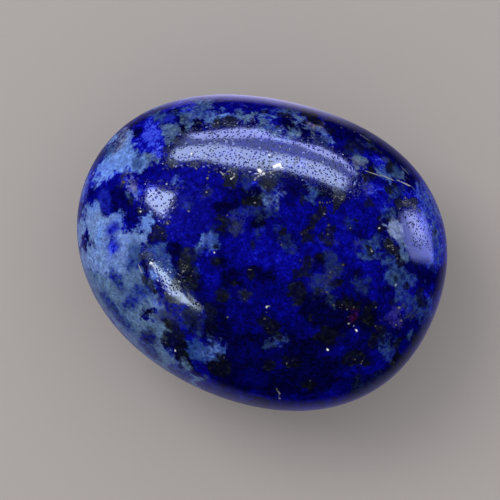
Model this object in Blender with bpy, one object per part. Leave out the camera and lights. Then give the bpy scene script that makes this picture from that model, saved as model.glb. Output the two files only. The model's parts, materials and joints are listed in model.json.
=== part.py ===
"""A tumbled lapis lazuli stone, lying on the small flat spot worn on its underside.

Metres, +Z up. The origin is on the surface that the stone rests on, under the middle of its
box, and +X runs along its longest extent.
"""

import math

import bmesh
import bpy
import numpy as np

STONE_NAME = "tumbled_stone"

# The rounded body, measured from the level where it is widest. A fullness of 2 is an
# ellipsoid, and more of it fills out the shoulders
LENGTH = 0.0282
WIDTH = 0.0229
CROWN_HEIGHT = 0.0083
BELLY_DEPTH = 0.0084
FULLNESS = 2.2

# The outline seen from above: an ellipse with a little three-sided and four-sided swell
THREE_SIDED_SWELL = -0.0206
THREE_SIDED_TURN = math.radians(-7.5)
FOUR_SIDED_SWELL = -0.0143
FOUR_SIDED_TURN = math.radians(3.4)

# How far the crown leans sideways over the belly, as a share of the height
LEAN_ALONG = 0.035
LEAN_ACROSS = -0.03

# Worn flats: (azimuth, elevation) that each faces, in degrees, how deep it cuts into the
# rounded body, and how softly it turns into it
WORN_FLATS = {
    "left_shoulder": (170.0, 42.0, 0.00010),
    "right_shoulder": (38.0, 40.0, 0.00012),
    "near_shoulder": (-62.0, 48.0, 0.00008),
    "left_keel": (205.0, -44.0, 0.00014),
    "right_keel": (-18.0, -50.0, 0.00012),
    "far_keel": (96.0, -46.0, 0.00010),
}
FLAT_SOFTNESS = 0.00045

# The spot that it rests on: how deep the wear goes, and the thin slice that makes it true
REST_WEAR = 0.00040
REST_SOFTNESS = 0.00010
REST_SLICE = 0.00003

SPHERE_DIVISIONS = 5

LAZURITE_BLUE = (0.012, 0.016, 0.36, 1.0)
POLISH_ROUGHNESS = 0.12


def facing(azimuth, elevation):
    """The unit vector for an azimuth and an elevation in degrees."""
    turn = math.radians(azimuth)
    rise = math.radians(elevation)
    return np.array([math.cos(turn) * math.cos(rise), math.sin(turn) * math.cos(rise), math.sin(rise)])


def rounded_body(directions):
    """The unworn stone: a point of a full, egg-like ellipsoid for each unit direction."""
    spread = np.hypot(directions[:, 0], directions[:, 1])
    size = (spread**FULLNESS + np.abs(directions[:, 2]) ** FULLNESS) ** (1 / FULLNESS)
    x, y, z = (directions / size[:, None]).T
    plan = x + 1j * y
    three_sided = (plan**3 * np.exp(-3j * THREE_SIDED_TURN)).real
    four_sided = (plan**4 * np.exp(-4j * FOUR_SIDED_TURN)).real
    swell = 1.0 + THREE_SIDED_SWELL * three_sided + FOUR_SIDED_SWELL * four_sided
    height = np.where(z > 0.0, CROWN_HEIGHT, BELLY_DEPTH) * z
    along = LENGTH / 2 * x * swell + LEAN_ALONG * height
    across = WIDTH / 2 * y * swell + LEAN_ACROSS * height
    return np.stack([along, across, height], axis=1)


def worn_by(points, normal, depth, softness):
    """The points with all that stands past a plane pressed softly back to it.

    The plane lies the given depth inside the body's furthest point along the normal. The
    softness is the distance over which the flat turns into the round."""
    along = points @ normal
    excess = (along - (along.max() - depth)) / softness
    return points - np.outer(softness * np.logaddexp(0.0, excess), normal)


def worn_surface(directions):
    """The tumbled stone's surface: the rounded body with its worn flats and its rest spot."""
    points = rounded_body(directions)
    for azimuth, elevation, depth in WORN_FLATS.values():
        points = worn_by(points, facing(azimuth, elevation), depth, FLAT_SOFTNESS)
    return worn_by(points, facing(0.0, -90.0), REST_WEAR, REST_SOFTNESS)


def polished_lapis():
    """The deep blue of the stone's lazurite, polished."""
    material = bpy.data.materials.new("polished_lapis")
    material.use_nodes = True
    shader = material.node_tree.nodes["Principled BSDF"]
    shader.inputs["Base Color"].default_value = LAZURITE_BLUE
    shader.inputs["Roughness"].default_value = POLISH_ROUGHNESS
    shader.inputs["Metallic"].default_value = 0.0
    return material


def tumbled_stone(collection):
    """The whole stone, one closed solid with a true flat face underneath."""
    shape = bmesh.new()
    bmesh.ops.create_icosphere(shape, subdivisions=SPHERE_DIVISIONS, radius=1.0)
    directions = np.array([vertex.co.normalized() for vertex in shape.verts])
    for vertex, point in zip(shape.verts, worn_surface(directions)):
        vertex.co = point

    lowest = min(vertex.co.z for vertex in shape.verts) + REST_SLICE
    everything = shape.verts[:] + shape.edges[:] + shape.faces[:]
    cut = bmesh.ops.bisect_plane(
        shape, geom=everything, plane_co=(0.0, 0.0, lowest), plane_no=(0.0, 0.0, -1.0), clear_outer=True
    )
    rim = [piece for piece in cut["geom_cut"] if isinstance(piece, bmesh.types.BMEdge)]
    bmesh.ops.contextual_create(shape, geom=rim)

    places = np.array([vertex.co for vertex in shape.verts])
    middle = (places.min(axis=0) + places.max(axis=0)) / 2
    bmesh.ops.translate(shape, verts=shape.verts, vec=(-middle[0], -middle[1], -lowest))
    bmesh.ops.recalc_face_normals(shape, faces=shape.faces)

    mesh = bpy.data.meshes.new(STONE_NAME)
    shape.to_mesh(mesh)
    shape.free()
    mesh.shade_smooth()
    mesh.materials.append(polished_lapis())
    stone = bpy.data.objects.new(STONE_NAME, mesh)
    collection.objects.link(stone)
    return stone


def main():
    for old in list(bpy.data.objects):
        bpy.data.objects.remove(old)
    collection = bpy.data.collections.new("tumbled_lapis")
    bpy.context.scene.collection.children.link(collection)
    tumbled_stone(collection)


main()
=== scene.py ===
import itertools
import json
import logging
import math
from collections.abc import Callable, Sequence
from dataclasses import dataclass
from enum import Enum
from functools import cached_property

import bpy
import numpy as np
from mathutils import Matrix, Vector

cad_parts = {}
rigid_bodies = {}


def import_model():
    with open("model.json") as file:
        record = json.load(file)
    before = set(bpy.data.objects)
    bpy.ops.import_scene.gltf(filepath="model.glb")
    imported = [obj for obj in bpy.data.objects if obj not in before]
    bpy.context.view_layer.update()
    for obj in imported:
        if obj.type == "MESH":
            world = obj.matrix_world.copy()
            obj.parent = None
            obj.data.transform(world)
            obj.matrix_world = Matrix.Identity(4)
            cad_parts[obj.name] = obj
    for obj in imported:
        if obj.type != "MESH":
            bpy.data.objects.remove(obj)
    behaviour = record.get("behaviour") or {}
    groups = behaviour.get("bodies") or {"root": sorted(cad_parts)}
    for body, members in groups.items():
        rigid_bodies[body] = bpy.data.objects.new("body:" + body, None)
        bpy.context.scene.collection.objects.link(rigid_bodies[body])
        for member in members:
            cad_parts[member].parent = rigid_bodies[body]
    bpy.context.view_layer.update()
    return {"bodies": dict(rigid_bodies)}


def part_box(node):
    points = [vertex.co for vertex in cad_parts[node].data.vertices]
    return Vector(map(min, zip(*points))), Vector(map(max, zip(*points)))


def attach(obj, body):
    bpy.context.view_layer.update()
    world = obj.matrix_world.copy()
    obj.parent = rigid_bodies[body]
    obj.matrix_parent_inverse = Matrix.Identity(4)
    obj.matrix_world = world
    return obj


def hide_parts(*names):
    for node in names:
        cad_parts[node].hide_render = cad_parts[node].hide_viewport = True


# A tumbled lapis lazuli stone, polished, lying on its worn flat in soft studio light. The stone
# is one surface worked out with numpy, with its minerals held as values at its vertices

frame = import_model()

log = logging.getLogger("tumbled_lapis")

MILLIMETRE = 0.001
STONE_NODE = "tumbled_stone"


def smooth_step(low: float, high: float, value: np.ndarray) -> np.ndarray:
    """How far a value has gone from low to high, from 0 to 1, starting and ending gently.

    Args:
        low: Where it is still 0.
        high: Where it is 1.
        value: The values to place between them.

    Returns:
        3t^2 - 2t^3, where t is the clipped share of the way.
    """
    share = np.clip((value - low) / (high - low), 0.0, 1.0)
    return share * share * (3.0 - 2.0 * share)


def unit(vectors: np.ndarray) -> np.ndarray:
    """The vectors, each divided by its length."""
    return vectors / np.linalg.norm(vectors, axis=-1, keepdims=True)


class Mineral(Enum):
    """The minerals, each with its colour in linear red, green and blue; two also paint glints and a rim sheen."""

    # Milky white, also used for a painted glint
    MILK_AND_GLINT = (0.300, 0.380, 0.600)
    CALCITE = (0.172, 0.330, 0.790)
    MIST = (0.190, 0.310, 0.600)
    SLATE = (0.045, 0.102, 0.225)
    HAZE = (0.120, 0.208, 0.325)
    TEAL = (0.022, 0.068, 0.220)
    DIOPSIDE = (0.018, 0.036, 0.080)
    ROSE = (0.150, 0.014, 0.035)
    # Lilac, also used for a painted rim sheen along the top edge
    LILAC_AND_RIM_SHEEN = (0.070, 0.055, 0.340)
    OLIVE = (0.032, 0.042, 0.022)
    TAN = (0.200, 0.190, 0.160)
    ULTRAMARINE = (0.016, 0.028, 0.470)


@dataclass(frozen=True)
class Marking:
    """One patch of a mineral, placed by what the photograph shows.

    Args:
        column: Its middle in the photograph, in pixels from the left.
        row: Its middle in the photograph, in pixels from the top.
        long: Half its length, in millimetres.
        broad: Half its width, in millimetres.
        turn: How far its length turns anticlockwise from level, in degrees.
        cover: How much of what lies under it the patch hides, from 0 to 1.
    """

    column: float
    row: float
    long: float
    broad: float
    turn: float = 0.0
    cover: float = 0.8


@dataclass(frozen=True)
class Tone:
    """One patch of lighter or darker blue, placed as a Marking is.

    Args:
        column: Its middle in the photograph, in pixels from the left.
        row: Its middle in the photograph, in pixels from the top.
        long: Half its length, in millimetres.
        broad: Half its width, in millimetres.
        turn: How far its length turns anticlockwise from level, in degrees.
        level: Its tone, from 0 for nearly black to 1 for the brightest blue.
    """

    column: float
    row: float
    long: float
    broad: float
    turn: float
    level: float


@dataclass(frozen=True)
class Fleck:
    """One small bright fleck, placed as a Marking is; the brightest are painted glints.

    Args:
        column: Its middle in the photograph, in pixels from the left.
        row: Its middle in the photograph, in pixels from the top.
        long: Half its length, in millimetres.
        broad: Half its width, in millimetres.
        turn: How far its length turns anticlockwise from level, in degrees.
        light: How bright it is, from 0 to 1; near 1 it is painted white as a glint.
    """

    column: float
    row: float
    long: float
    broad: float
    turn: float
    light: float


@dataclass(frozen=True)
class Zone:
    """A larger patch, by its outline in the photograph.

    Args:
        outline: The column and the row of each of its corners, in pixels, in order round it.
            Corners that lie off the stone carry the patch on over its edge.
        cover: How much of what lies under it the patch hides, from 0 to 1.
    """

    outline: tuple[float, ...]
    cover: float = 0.8


# The blue of the lazurite, from zones of navy to zones of bright ultramarine, by their tone
BLUE_ZONES = {
    0.74: (
        Zone((322, 112, 360, 124, 398, 148, 428, 184, 444, 215, 450, 250, 442, 292, 430, 312, 420, 300,
            430, 270, 428, 240, 412, 204, 392, 180, 366, 158, 340, 142, 318, 130)),
        Zone((74, 216, 84, 178, 100, 158, 124, 168, 168, 172, 158, 190, 140, 206, 112, 208, 92, 202)),
        Zone((366, 182, 388, 186, 398, 204, 384, 212, 368, 208)),
    ),
    0.24: (
        # Navy under the highlight and in the middle
        Zone((240, 186, 250, 184, 258, 187, 262, 195, 262, 205, 250, 207, 242, 200)),
        Zone((214, 203, 222, 200, 232, 201, 240, 204, 238, 209, 230, 213, 222, 214, 215, 211)),
        Zone((250, 268, 260, 266, 272, 268, 275, 275, 270, 280, 258, 280, 251, 276)),
        Zone((216, 256, 224, 256, 227, 262, 222, 267, 216, 266)),
        Zone((222, 274, 232, 272, 241, 276, 240, 286, 234, 292, 224, 290, 221, 282)),
        Zone((170, 262, 182, 256, 196, 262, 197, 290, 192, 296, 182, 288, 172, 276)),
        # The bottom
        Zone((203, 302, 222, 300, 232, 328, 262, 334, 290, 338, 330, 336, 352, 356, 345, 372, 330, 388,
            290, 396, 240, 390, 212, 378, 206, 366, 228, 356, 228, 342, 204, 334)),
        Zone((298, 298, 340, 296, 372, 300, 382, 316, 372, 334, 340, 334, 322, 330, 300, 318)),
        Zone((352, 380, 376, 372, 394, 362, 404, 352, 412, 360, 398, 378, 376, 392, 352, 402)),
    ),
    0.46: (
        Zone((230, 284, 245, 280, 262, 284, 286, 284, 288, 296, 276, 304, 262, 310, 250, 327, 238, 330,
            230, 314, 226, 296)),
    ),
    0.38: (
        Zone((112, 190, 122, 184, 129, 190, 131, 200, 139, 205, 143, 214, 150, 218, 146, 222, 140, 220,
            132, 224, 126, 218, 116, 212, 110, 204)),
        Zone((286, 177, 295, 175, 303, 180, 308, 188, 307, 198, 296, 200, 286, 198, 278, 190)),
        Zone((330, 336, 350, 333, 370, 336, 378, 352, 372, 366, 352, 366, 338, 362, 328, 350)),
        Zone((322, 112, 345, 118, 372, 130, 395, 148, 412, 168, 420, 186, 408, 188, 396, 180, 384, 162,
            362, 150, 345, 144, 330, 134)),
        Zone((300, 125, 310, 130, 320, 137, 322, 146, 308, 144, 300, 136)),
        Zone((228, 345, 245, 343, 262, 346, 264, 358, 250, 364, 232, 362)),
        Zone((268, 352, 285, 350, 290, 362, 280, 372, 268, 368)),
        Zone((246, 370, 262, 370, 266, 380, 256, 388, 244, 384)),
        Zone((403, 262, 418, 267, 432, 270, 448, 264, 446, 284, 438, 296, 428, 284, 416, 276)),
        Zone((396, 316, 414, 318, 424, 322, 426, 334, 410, 352, 396, 350, 386, 336, 384, 322)),
    ),
    0.54: (
        Zone((84, 200, 92, 190, 100, 186, 110, 181, 118, 174, 126, 171, 132, 176, 124, 182, 112, 190,
            112, 205, 117, 211, 108, 212, 100, 204, 92, 203, 86, 212, 78, 222, 76, 208)),
        Zone((208, 103, 225, 100, 250, 102, 270, 105, 288, 108, 276, 112, 262, 111, 248, 109, 236, 112,
            222, 113, 211, 110)),
        Zone((193, 124, 208, 124, 222, 127, 230, 131, 216, 133, 196, 132)),
        Zone((144, 166, 160, 162, 180, 166, 190, 176, 184, 186, 172, 184, 150, 182, 138, 186, 132, 178)),
        Zone((275, 304, 292, 302, 300, 312, 292, 324, 280, 322)),
    ),
    0.61: (
        Zone((185, 166, 214, 164, 220, 184, 222, 200, 212, 204, 214, 214, 216, 222, 212, 226, 202, 230,
            196, 242, 188, 250, 176, 250, 164, 226, 164, 210, 178, 196, 180, 184)),
        Zone((222, 238, 240, 234, 256, 238, 270, 232, 278, 240, 286, 250, 296, 256, 300, 264, 296, 276,
            290, 282, 276, 266, 258, 262, 246, 266, 242, 272, 232, 268, 222, 256)),
        Zone((199, 262, 212, 266, 222, 270, 222, 282, 218, 290, 206, 292, 199, 282)),
        Zone((282, 202, 300, 200, 312, 205, 314, 212, 308, 222, 302, 230, 298, 240, 290, 236, 282, 226,
            280, 214)),
        Zone((348, 184, 362, 196, 380, 196, 386, 206, 376, 216, 372, 230, 356, 232, 344, 218, 346, 206,
            352, 198)),
        Zone((330, 214, 342, 214, 344, 234, 356, 236, 360, 248, 352, 260, 344, 262, 338, 250, 334, 232)),
        Zone((350, 256, 362, 262, 378, 262, 390, 272, 386, 285, 376, 292, 366, 280, 352, 276)),
        Zone((310, 242, 322, 244, 326, 250, 318, 254, 310, 256)),
        Zone((262, 118, 276, 121, 286, 120, 286, 126, 278, 128, 266, 124)),
    ),
    0.78: (
        Zone((131, 130, 137, 122, 145, 118, 155, 118, 161, 124, 164, 133, 167, 144, 168, 152, 160, 158,
            150, 155, 140, 152, 134, 148, 130, 140)),
    ),
    0.92: (
        Zone((146, 120, 154, 120, 160, 128, 160, 140, 163, 150, 156, 154, 148, 150, 146, 138, 142, 130)),
    ),
}

# Larger patches of the paler and greener minerals in the blue, with painted glints and rim reflections among them
MINERAL_ZONES = {
    Mineral.MILK_AND_GLINT: (
        Zone((384, 223, 389, 219, 395, 220, 401, 226, 403, 234, 403, 242, 399, 243, 395, 237,
            388, 232), 0.85),
        Zone((112, 140, 118, 133, 127, 132, 128, 139, 122, 147, 114, 150), 0.5),
        # A painted glint: a greyish white patch where the polish catches the light
        Zone((129, 178, 134, 181, 138, 190, 137, 198, 132, 196, 129, 187), 0.6),
    ),
    Mineral.CALCITE: (
        # Upper left
        Zone((93, 189, 96, 180, 101, 163, 108, 150, 114, 142, 121, 133, 128, 128, 133, 131, 134, 138,
            131, 146, 136, 152, 146, 153, 150, 158, 146, 164, 141, 171, 133, 174, 126, 170, 119, 171,
            113, 176, 107, 180, 99, 185), 0.92),
        Zone((205, 113, 215, 113, 235, 114, 236, 117, 220, 119, 213, 122, 206, 124, 202, 120), 0.55),
        Zone((261, 115, 266, 113, 272, 115, 277, 117, 272, 119, 262, 118), 0.7),
    ),
    Mineral.MIST: (
        # The pale end, over its rim
        Zone((66, 235, 80, 222, 84, 212, 91, 203, 99, 204, 106, 212, 116, 212, 122, 218, 120, 226, 127, 233,
            136, 230, 141, 222, 146, 217, 152, 219, 151, 228, 146, 234, 146, 244, 140, 252, 136, 262,
            128, 272, 112, 276, 98, 274, 86, 270, 70, 265), 0.92),
        # A pale band along the upper left rim: partly the mineral, partly a painted rim sheen
        Zone((68, 212, 74, 185, 84, 158, 98, 136, 116, 116, 136, 102, 140, 109, 124, 121, 110, 135, 98, 150,
            92, 166, 88, 184, 83, 202), 0.55),
        Zone((262, 189, 267, 193, 272, 195, 277, 193, 281, 194, 282, 198, 279, 201, 278, 206, 274, 207,
            271, 203, 267, 199, 263, 194), 0.55),
    ),
    Mineral.ROSE: (
        Zone((353, 311, 359, 313, 357, 318, 352, 323, 349, 321), 0.35),
    ),
    Mineral.TAN: (
        Zone((310, 123, 315, 120, 321, 124, 325, 131, 321, 134, 314, 131), 0.72),
    ),
    Mineral.HAZE: (
        Zone((276, 109, 284, 107, 292, 110, 290, 115, 282, 114), 0.7),
        Zone((258, 194, 264, 187, 272, 188, 275, 197, 268, 203, 262, 200), 0.75),
        Zone((396, 238, 401, 240, 405, 248, 407, 257, 402, 257, 397, 250), 0.8),
        # The lower left, over its rim
        Zone((70, 262, 86, 266, 98, 272, 112, 275, 128, 268, 137, 262, 144, 274, 152, 288, 162, 298,
            169, 310, 166, 322, 171, 331, 162, 343, 168, 351, 180, 360, 192, 369, 204, 381, 196, 394,
            178, 388, 158, 376, 136, 356, 116, 332, 96, 306, 78, 282), 0.9),
        # The upper left shoulder
        Zone((163, 126, 168, 119, 176, 120, 180, 130, 178, 138, 170, 142, 164, 138), 0.75),
        Zone((183, 108, 196, 106, 206, 110, 204, 116, 196, 120, 190, 130, 184, 126, 180, 116), 0.6),
        Zone((199, 100, 205, 98, 211, 101, 208, 107, 203, 109, 198, 106), 0.7),
        Zone((142, 152, 150, 153, 158, 157, 156, 162, 148, 164, 142, 160), 0.7),
        Zone((236, 114, 243, 111, 250, 110, 254, 116, 254, 121, 246, 122, 238, 120), 0.8),
        Zone((256, 124, 263, 121, 270, 123, 277, 126, 278, 131, 284, 134, 285, 138, 276, 139, 266, 134,
            258, 128), 0.65),
        Zone((285, 129, 290, 125, 296, 128, 300, 133, 301, 138, 295, 140, 287, 139, 283, 134), 0.75),
        Zone((290, 112, 297, 117, 306, 121, 316, 128, 325, 133, 321, 136, 312, 132, 302, 125,
            294, 120), 0.75),
        Zone((348, 160, 356, 153, 365, 156, 369, 162, 362, 168, 354, 168), 0.95),
        Zone((376, 169, 382, 165, 389, 172, 396, 170, 402, 173, 399, 181, 390, 181, 381, 176), 0.75),
        # The right rim
        Zone((415, 187, 424, 186, 432, 196, 438, 210, 440, 220, 432, 218, 424, 212, 418, 200), 0.55),
        Zone((427, 224, 434, 221, 440, 232, 441, 246, 440, 258, 437, 268, 431, 266, 430, 250), 0.6),
    ),
    Mineral.SLATE: (
        Zone((381, 207, 388, 204, 395, 210, 399, 218, 394, 222, 387, 219), 0.65),
        Zone((138, 257, 148, 250, 156, 243, 167, 245, 166, 254, 168, 262, 173, 272, 176, 282, 168, 286,
            158, 276, 150, 266, 144, 263), 0.7),
        Zone((272, 338, 279, 336, 286, 338, 284, 342, 276, 344, 274, 350, 268, 349, 267, 344), 0.4),
        Zone((382, 255, 388, 253, 394, 260, 402, 267, 410, 273, 417, 279, 414, 285, 406, 286, 401, 293,
            399, 301, 393, 298, 392, 288, 387, 283, 386, 276, 393, 272, 389, 265), 0.7),
        Zone((356, 248, 362, 243, 366, 236, 374, 231, 381, 236, 377, 244, 378, 251, 380, 257, 372, 261,
            366, 259, 360, 254), 0.6),
        Zone((400, 296, 410, 292, 420, 296, 430, 304, 434, 312, 424, 324, 414, 314, 404, 311), 0.45),
        Zone((379, 338, 386, 335, 394, 341, 398, 350, 392, 358, 384, 357, 378, 348), 0.5),
        Zone((388, 192, 396, 189, 403, 192, 400, 197, 393, 198), 0.6),
        Zone((300, 177, 307, 178, 313, 181, 319, 187, 322, 196, 316, 201, 310, 199, 306, 192, 308, 186,
            303, 182), 0.6),
    ),
    Mineral.TEAL: (
        Zone((186, 341, 192, 338, 198, 338, 203, 341, 206, 345, 211, 343, 214, 339, 219, 341, 224, 345,
            227, 349, 224, 354, 217, 356, 213, 360, 207, 359, 203, 362, 197, 362, 192, 357,
            188, 351), 0.85),
        Zone((194, 246, 199, 243, 202, 240, 202, 234, 207, 230, 212, 226, 216, 228, 216, 235, 220, 240,
            218, 246, 211, 245, 207, 249, 205, 255, 201, 257, 198, 253), 0.85),
    ),
    Mineral.DIOPSIDE: (
        Zone((230, 212, 238, 207, 246, 206, 258, 207, 270, 209, 280, 207, 278, 213, 268, 217, 252, 215,
            243, 217, 234, 216), 0.6),
        Zone((273, 228, 280, 226, 286, 232, 290, 238, 293, 244, 298, 250, 293, 254, 287, 250, 282, 243,
            277, 236), 0.6),
        Zone((255, 228, 260, 225, 267, 227, 264, 233, 260, 238, 256, 234), 0.5),
        Zone((323, 252, 332, 249, 338, 255, 341, 264, 340, 273, 333, 276, 331, 284, 336, 294, 339, 303,
            334, 312, 329, 304, 326, 294, 321, 288, 323, 280, 322, 270, 326, 261), 0.7),
        Zone((308, 279, 315, 276, 323, 279, 326, 286, 325, 294, 318, 297, 311, 293), 0.7),
        Zone((353, 281, 361, 278, 370, 281, 373, 289, 366, 295, 359, 291), 0.65),
        Zone((341, 223, 347, 219, 352, 226, 351, 232, 344, 230), 0.65),
        Zone((361, 184, 370, 183, 373, 190, 369, 196, 363, 194), 0.7),
        Zone((320, 134, 328, 132, 333, 140, 334, 149, 326, 148, 319, 143), 0.7),
        Zone((178, 292, 186, 288, 194, 294, 198, 306, 204, 312, 204, 322, 198, 328, 190, 322, 178, 322,
            170, 328, 166, 320, 170, 310), 0.55),
        Zone((240, 172, 248, 170, 253, 175, 254, 182, 258, 185, 250, 187, 243, 184), 0.65),
        # Along the bottom rim: a painted reflection of the shaded floor, in diopside's colour
        Zone((352, 384, 366, 378, 380, 372, 390, 378, 374, 392, 354, 400), 0.35),
        Zone((205, 384, 222, 388, 240, 396, 262, 400, 262, 412, 228, 408, 200, 396), 0.4),
    ),
    Mineral.OLIVE: (
        Zone((270, 172, 278, 169, 286, 172, 288, 178, 283, 184, 276, 184), 0.7),
        Zone((363, 140, 370, 138, 374, 143, 377, 150, 371, 150, 366, 145), 0.75),
        Zone((229, 218, 234, 216, 240, 218, 243, 223, 243, 230, 240, 234, 234, 232, 230, 227), 0.7),
        Zone((252, 172, 258, 170, 262, 174, 262, 182, 256, 184, 252, 179), 0.8),
        Zone((167, 304, 174, 302, 182, 308, 184, 318, 176, 324, 169, 321, 166, 313), 0.5),
        Zone((404, 314, 410, 310, 416, 313, 412, 320, 406, 321), 0.7),
        Zone((322, 276, 330, 272, 337, 274, 334, 280, 326, 284), 0.7),
    ),
    Mineral.LILAC_AND_RIM_SHEEN: (
        Zone((390, 306, 398, 310, 402, 320, 396, 327, 387, 321), 0.4),
        # Along the top rim: a painted rim sheen, lilac like the reflection there
        Zone((176, 104, 196, 99, 222, 95, 250, 95, 280, 98, 280, 102, 250, 101, 222, 101, 196, 104,
            178, 108), 0.5),
    ),
}

# Blue that shows through the pale minerals
PALE_HOLES = (
    Zone((126, 222, 133, 219, 140, 223, 141, 229, 134, 233, 127, 230)),
    Zone((109, 243, 113, 240, 116, 245, 114, 252, 111, 254, 109, 249)),
    Zone((80, 238, 85, 231, 89, 238, 88, 246, 83, 253, 79, 246)),
    Zone((142, 309, 147, 304, 154, 305, 156, 311, 151, 317, 144, 315)),
    Zone((158, 299, 163, 297, 166, 301, 162, 306)),
    Zone((143, 258, 149, 255, 152, 261, 150, 270, 144, 268)),
    Zone((111, 229, 113, 227, 115, 229, 113, 231)),
)

# Where the polish is worn dull in many small pricks
WORN_POLISH = (
    Zone((140, 156, 165, 148, 176, 140, 190, 128, 225, 122, 262, 122, 300, 136, 335, 144, 362, 166,
        366, 186, 352, 200, 334, 196, 300, 182, 255, 174, 210, 168, 168, 166)),
    Zone((142, 184, 154, 180, 182, 188, 166, 224, 140, 206)),
    Zone((145, 250, 160, 262, 180, 280, 204, 312, 190, 306, 160, 282, 144, 264)),
    Zone((404, 204, 414, 205, 424, 222, 429, 242, 420, 250, 409, 228)),
)

# Larger dark inclusions, which the polish leaves a little lower than the blue around them, and painted shade along the
# bottom rim
DARK_ZONES = (
    # Upper edge
    Zone((298, 111, 306, 110, 314, 113, 319, 117, 321, 122, 315, 122, 309, 120, 303, 118), 0.92),
    Zone((277, 111, 284, 113, 291, 117, 285, 119, 279, 116), 0.85),
    Zone((225, 119, 231, 116, 237, 118, 239, 122, 235, 125, 228, 123), 0.9),
    Zone((213, 121, 218, 118, 222, 121, 221, 126, 215, 126), 0.85),
    Zone((321, 122, 328, 124, 332, 130, 328, 132, 322, 128), 0.8),
    Zone((344, 143, 352, 141, 362, 147, 360, 151, 350, 149), 0.75),
    Zone((383, 160, 388, 158, 392, 164, 394, 171, 389, 173, 386, 167), 0.8),
    # Under the highlight
    Zone((219, 172, 225, 169, 233, 169, 239, 172, 240, 178, 238, 185, 232, 188, 226, 186, 220, 181), 0.92),
    Zone((259, 170, 266, 172, 272, 176, 277, 181, 275, 187, 270, 191, 265, 188, 261, 181), 0.85),
    Zone((245, 200, 252, 194, 258, 195, 265, 200, 265, 206, 258, 209, 249, 206), 0.85),
    Zone((217, 219, 224, 217, 230, 219, 230, 228, 226, 234, 219, 231), 0.8),
    # Right
    Zone((330, 197, 332, 191, 341, 189, 347, 194, 346, 201, 339, 205, 336, 212, 331, 210), 0.92),
    Zone((321, 206, 328, 211, 324, 217, 318, 223, 312, 230, 307, 230, 310, 223, 314, 216), 0.88),
    Zone((299, 231, 306, 229, 312, 234, 312, 241, 306, 243, 300, 238), 0.85),
    Zone((327, 223, 332, 224, 334, 232, 332, 240, 328, 240, 326, 231), 0.8),
    Zone((318, 239, 330, 236, 337, 240, 335, 245, 324, 246), 0.8),
    Zone((361, 176, 368, 173, 375, 176, 373, 181, 366, 183, 361, 180), 0.9),
    Zone((383, 182, 389, 183, 393, 189, 394, 194, 389, 199, 385, 194), 0.9),
    Zone((397, 199, 406, 196, 414, 200, 419, 204, 417, 209, 408, 207, 400, 206), 0.92),
    Zone((363, 201, 370, 199, 374, 204, 370, 209, 365, 206), 0.8),
    Zone((366, 248, 372, 247, 375, 251, 372, 256, 367, 254), 0.85),
    Zone((383, 245, 388, 240, 393, 243, 398, 251, 404, 257, 406, 262, 401, 267, 396, 262, 389, 257,
        386, 251), 0.85),
    Zone((303, 260, 309, 261, 311, 268, 309, 277, 303, 279, 297, 276, 296, 270, 301, 266), 0.85),
    Zone((315, 254, 322, 253, 326, 258, 321, 263, 315, 260), 0.8),
    Zone((330, 282, 340, 282, 341, 287, 334, 289, 328, 285), 0.85),
    Zone((287, 289, 296, 285, 304, 287, 305, 293, 301, 300, 299, 306, 293, 304, 289, 297), 0.88),
    Zone((421, 288, 427, 289, 426, 298, 423, 307, 418, 306, 419, 297), 0.8),
    Zone((429, 294, 434, 292, 435, 301, 431, 304), 0.8),
    # Left
    Zone((182, 250, 190, 248, 195, 256, 192, 268, 197, 284, 190, 292, 182, 282, 178, 268), 0.6),
    Zone((150, 232, 156, 226, 165, 228, 168, 236, 160, 241, 152, 238), 0.65),
    Zone((162, 296, 168, 293, 176, 298, 178, 304, 170, 304, 164, 301), 0.75),
    Zone((160, 336, 167, 331, 177, 330, 185, 334, 186, 340, 179, 342, 172, 346, 164, 343), 0.82),
    Zone((172, 346, 182, 341, 187, 350, 189, 358, 199, 372, 206, 381, 196, 376, 180, 362), 0.6),
    Zone((185, 310, 194, 308, 202, 313, 203, 322, 199, 333, 191, 336, 185, 331), 0.5),
    # Bottom
    Zone((206, 364, 213, 360, 221, 358, 228, 361, 229, 368, 224, 375, 217, 378, 210, 375), 0.72),
    Zone((205, 302, 213, 301, 218, 308, 214, 320, 217, 333, 210, 336, 206, 322), 0.4),
    Zone((262, 317, 270, 318, 280, 324, 284, 332, 279, 337, 270, 334, 263, 329), 0.88),
    Zone((316, 331, 328, 328, 341, 330, 344, 336, 334, 342, 322, 343, 315, 338), 0.8),
    Zone((340, 300, 350, 298, 366, 303, 362, 312, 350, 312, 342, 308), 0.7),
    Zone((361, 320, 368, 315, 375, 320, 375, 326, 367, 327), 0.8),
    Zone((374, 326, 382, 324, 386, 332, 380, 338, 375, 334), 0.75),
    Zone((344, 352, 356, 350, 366, 358, 364, 366, 352, 366, 345, 360), 0.8),
    Zone((282, 358, 292, 358, 302, 364, 298, 371, 286, 370), 0.8),
    Zone((389, 358, 398, 353, 407, 350, 404, 360, 396, 367, 390, 364), 0.8),
    # Along the bottom rim: painted shade, the rim's reflection of the shaded floor
    Zone((245, 397, 258, 396, 272, 402, 270, 412, 250, 408), 0.65),
)

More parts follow.
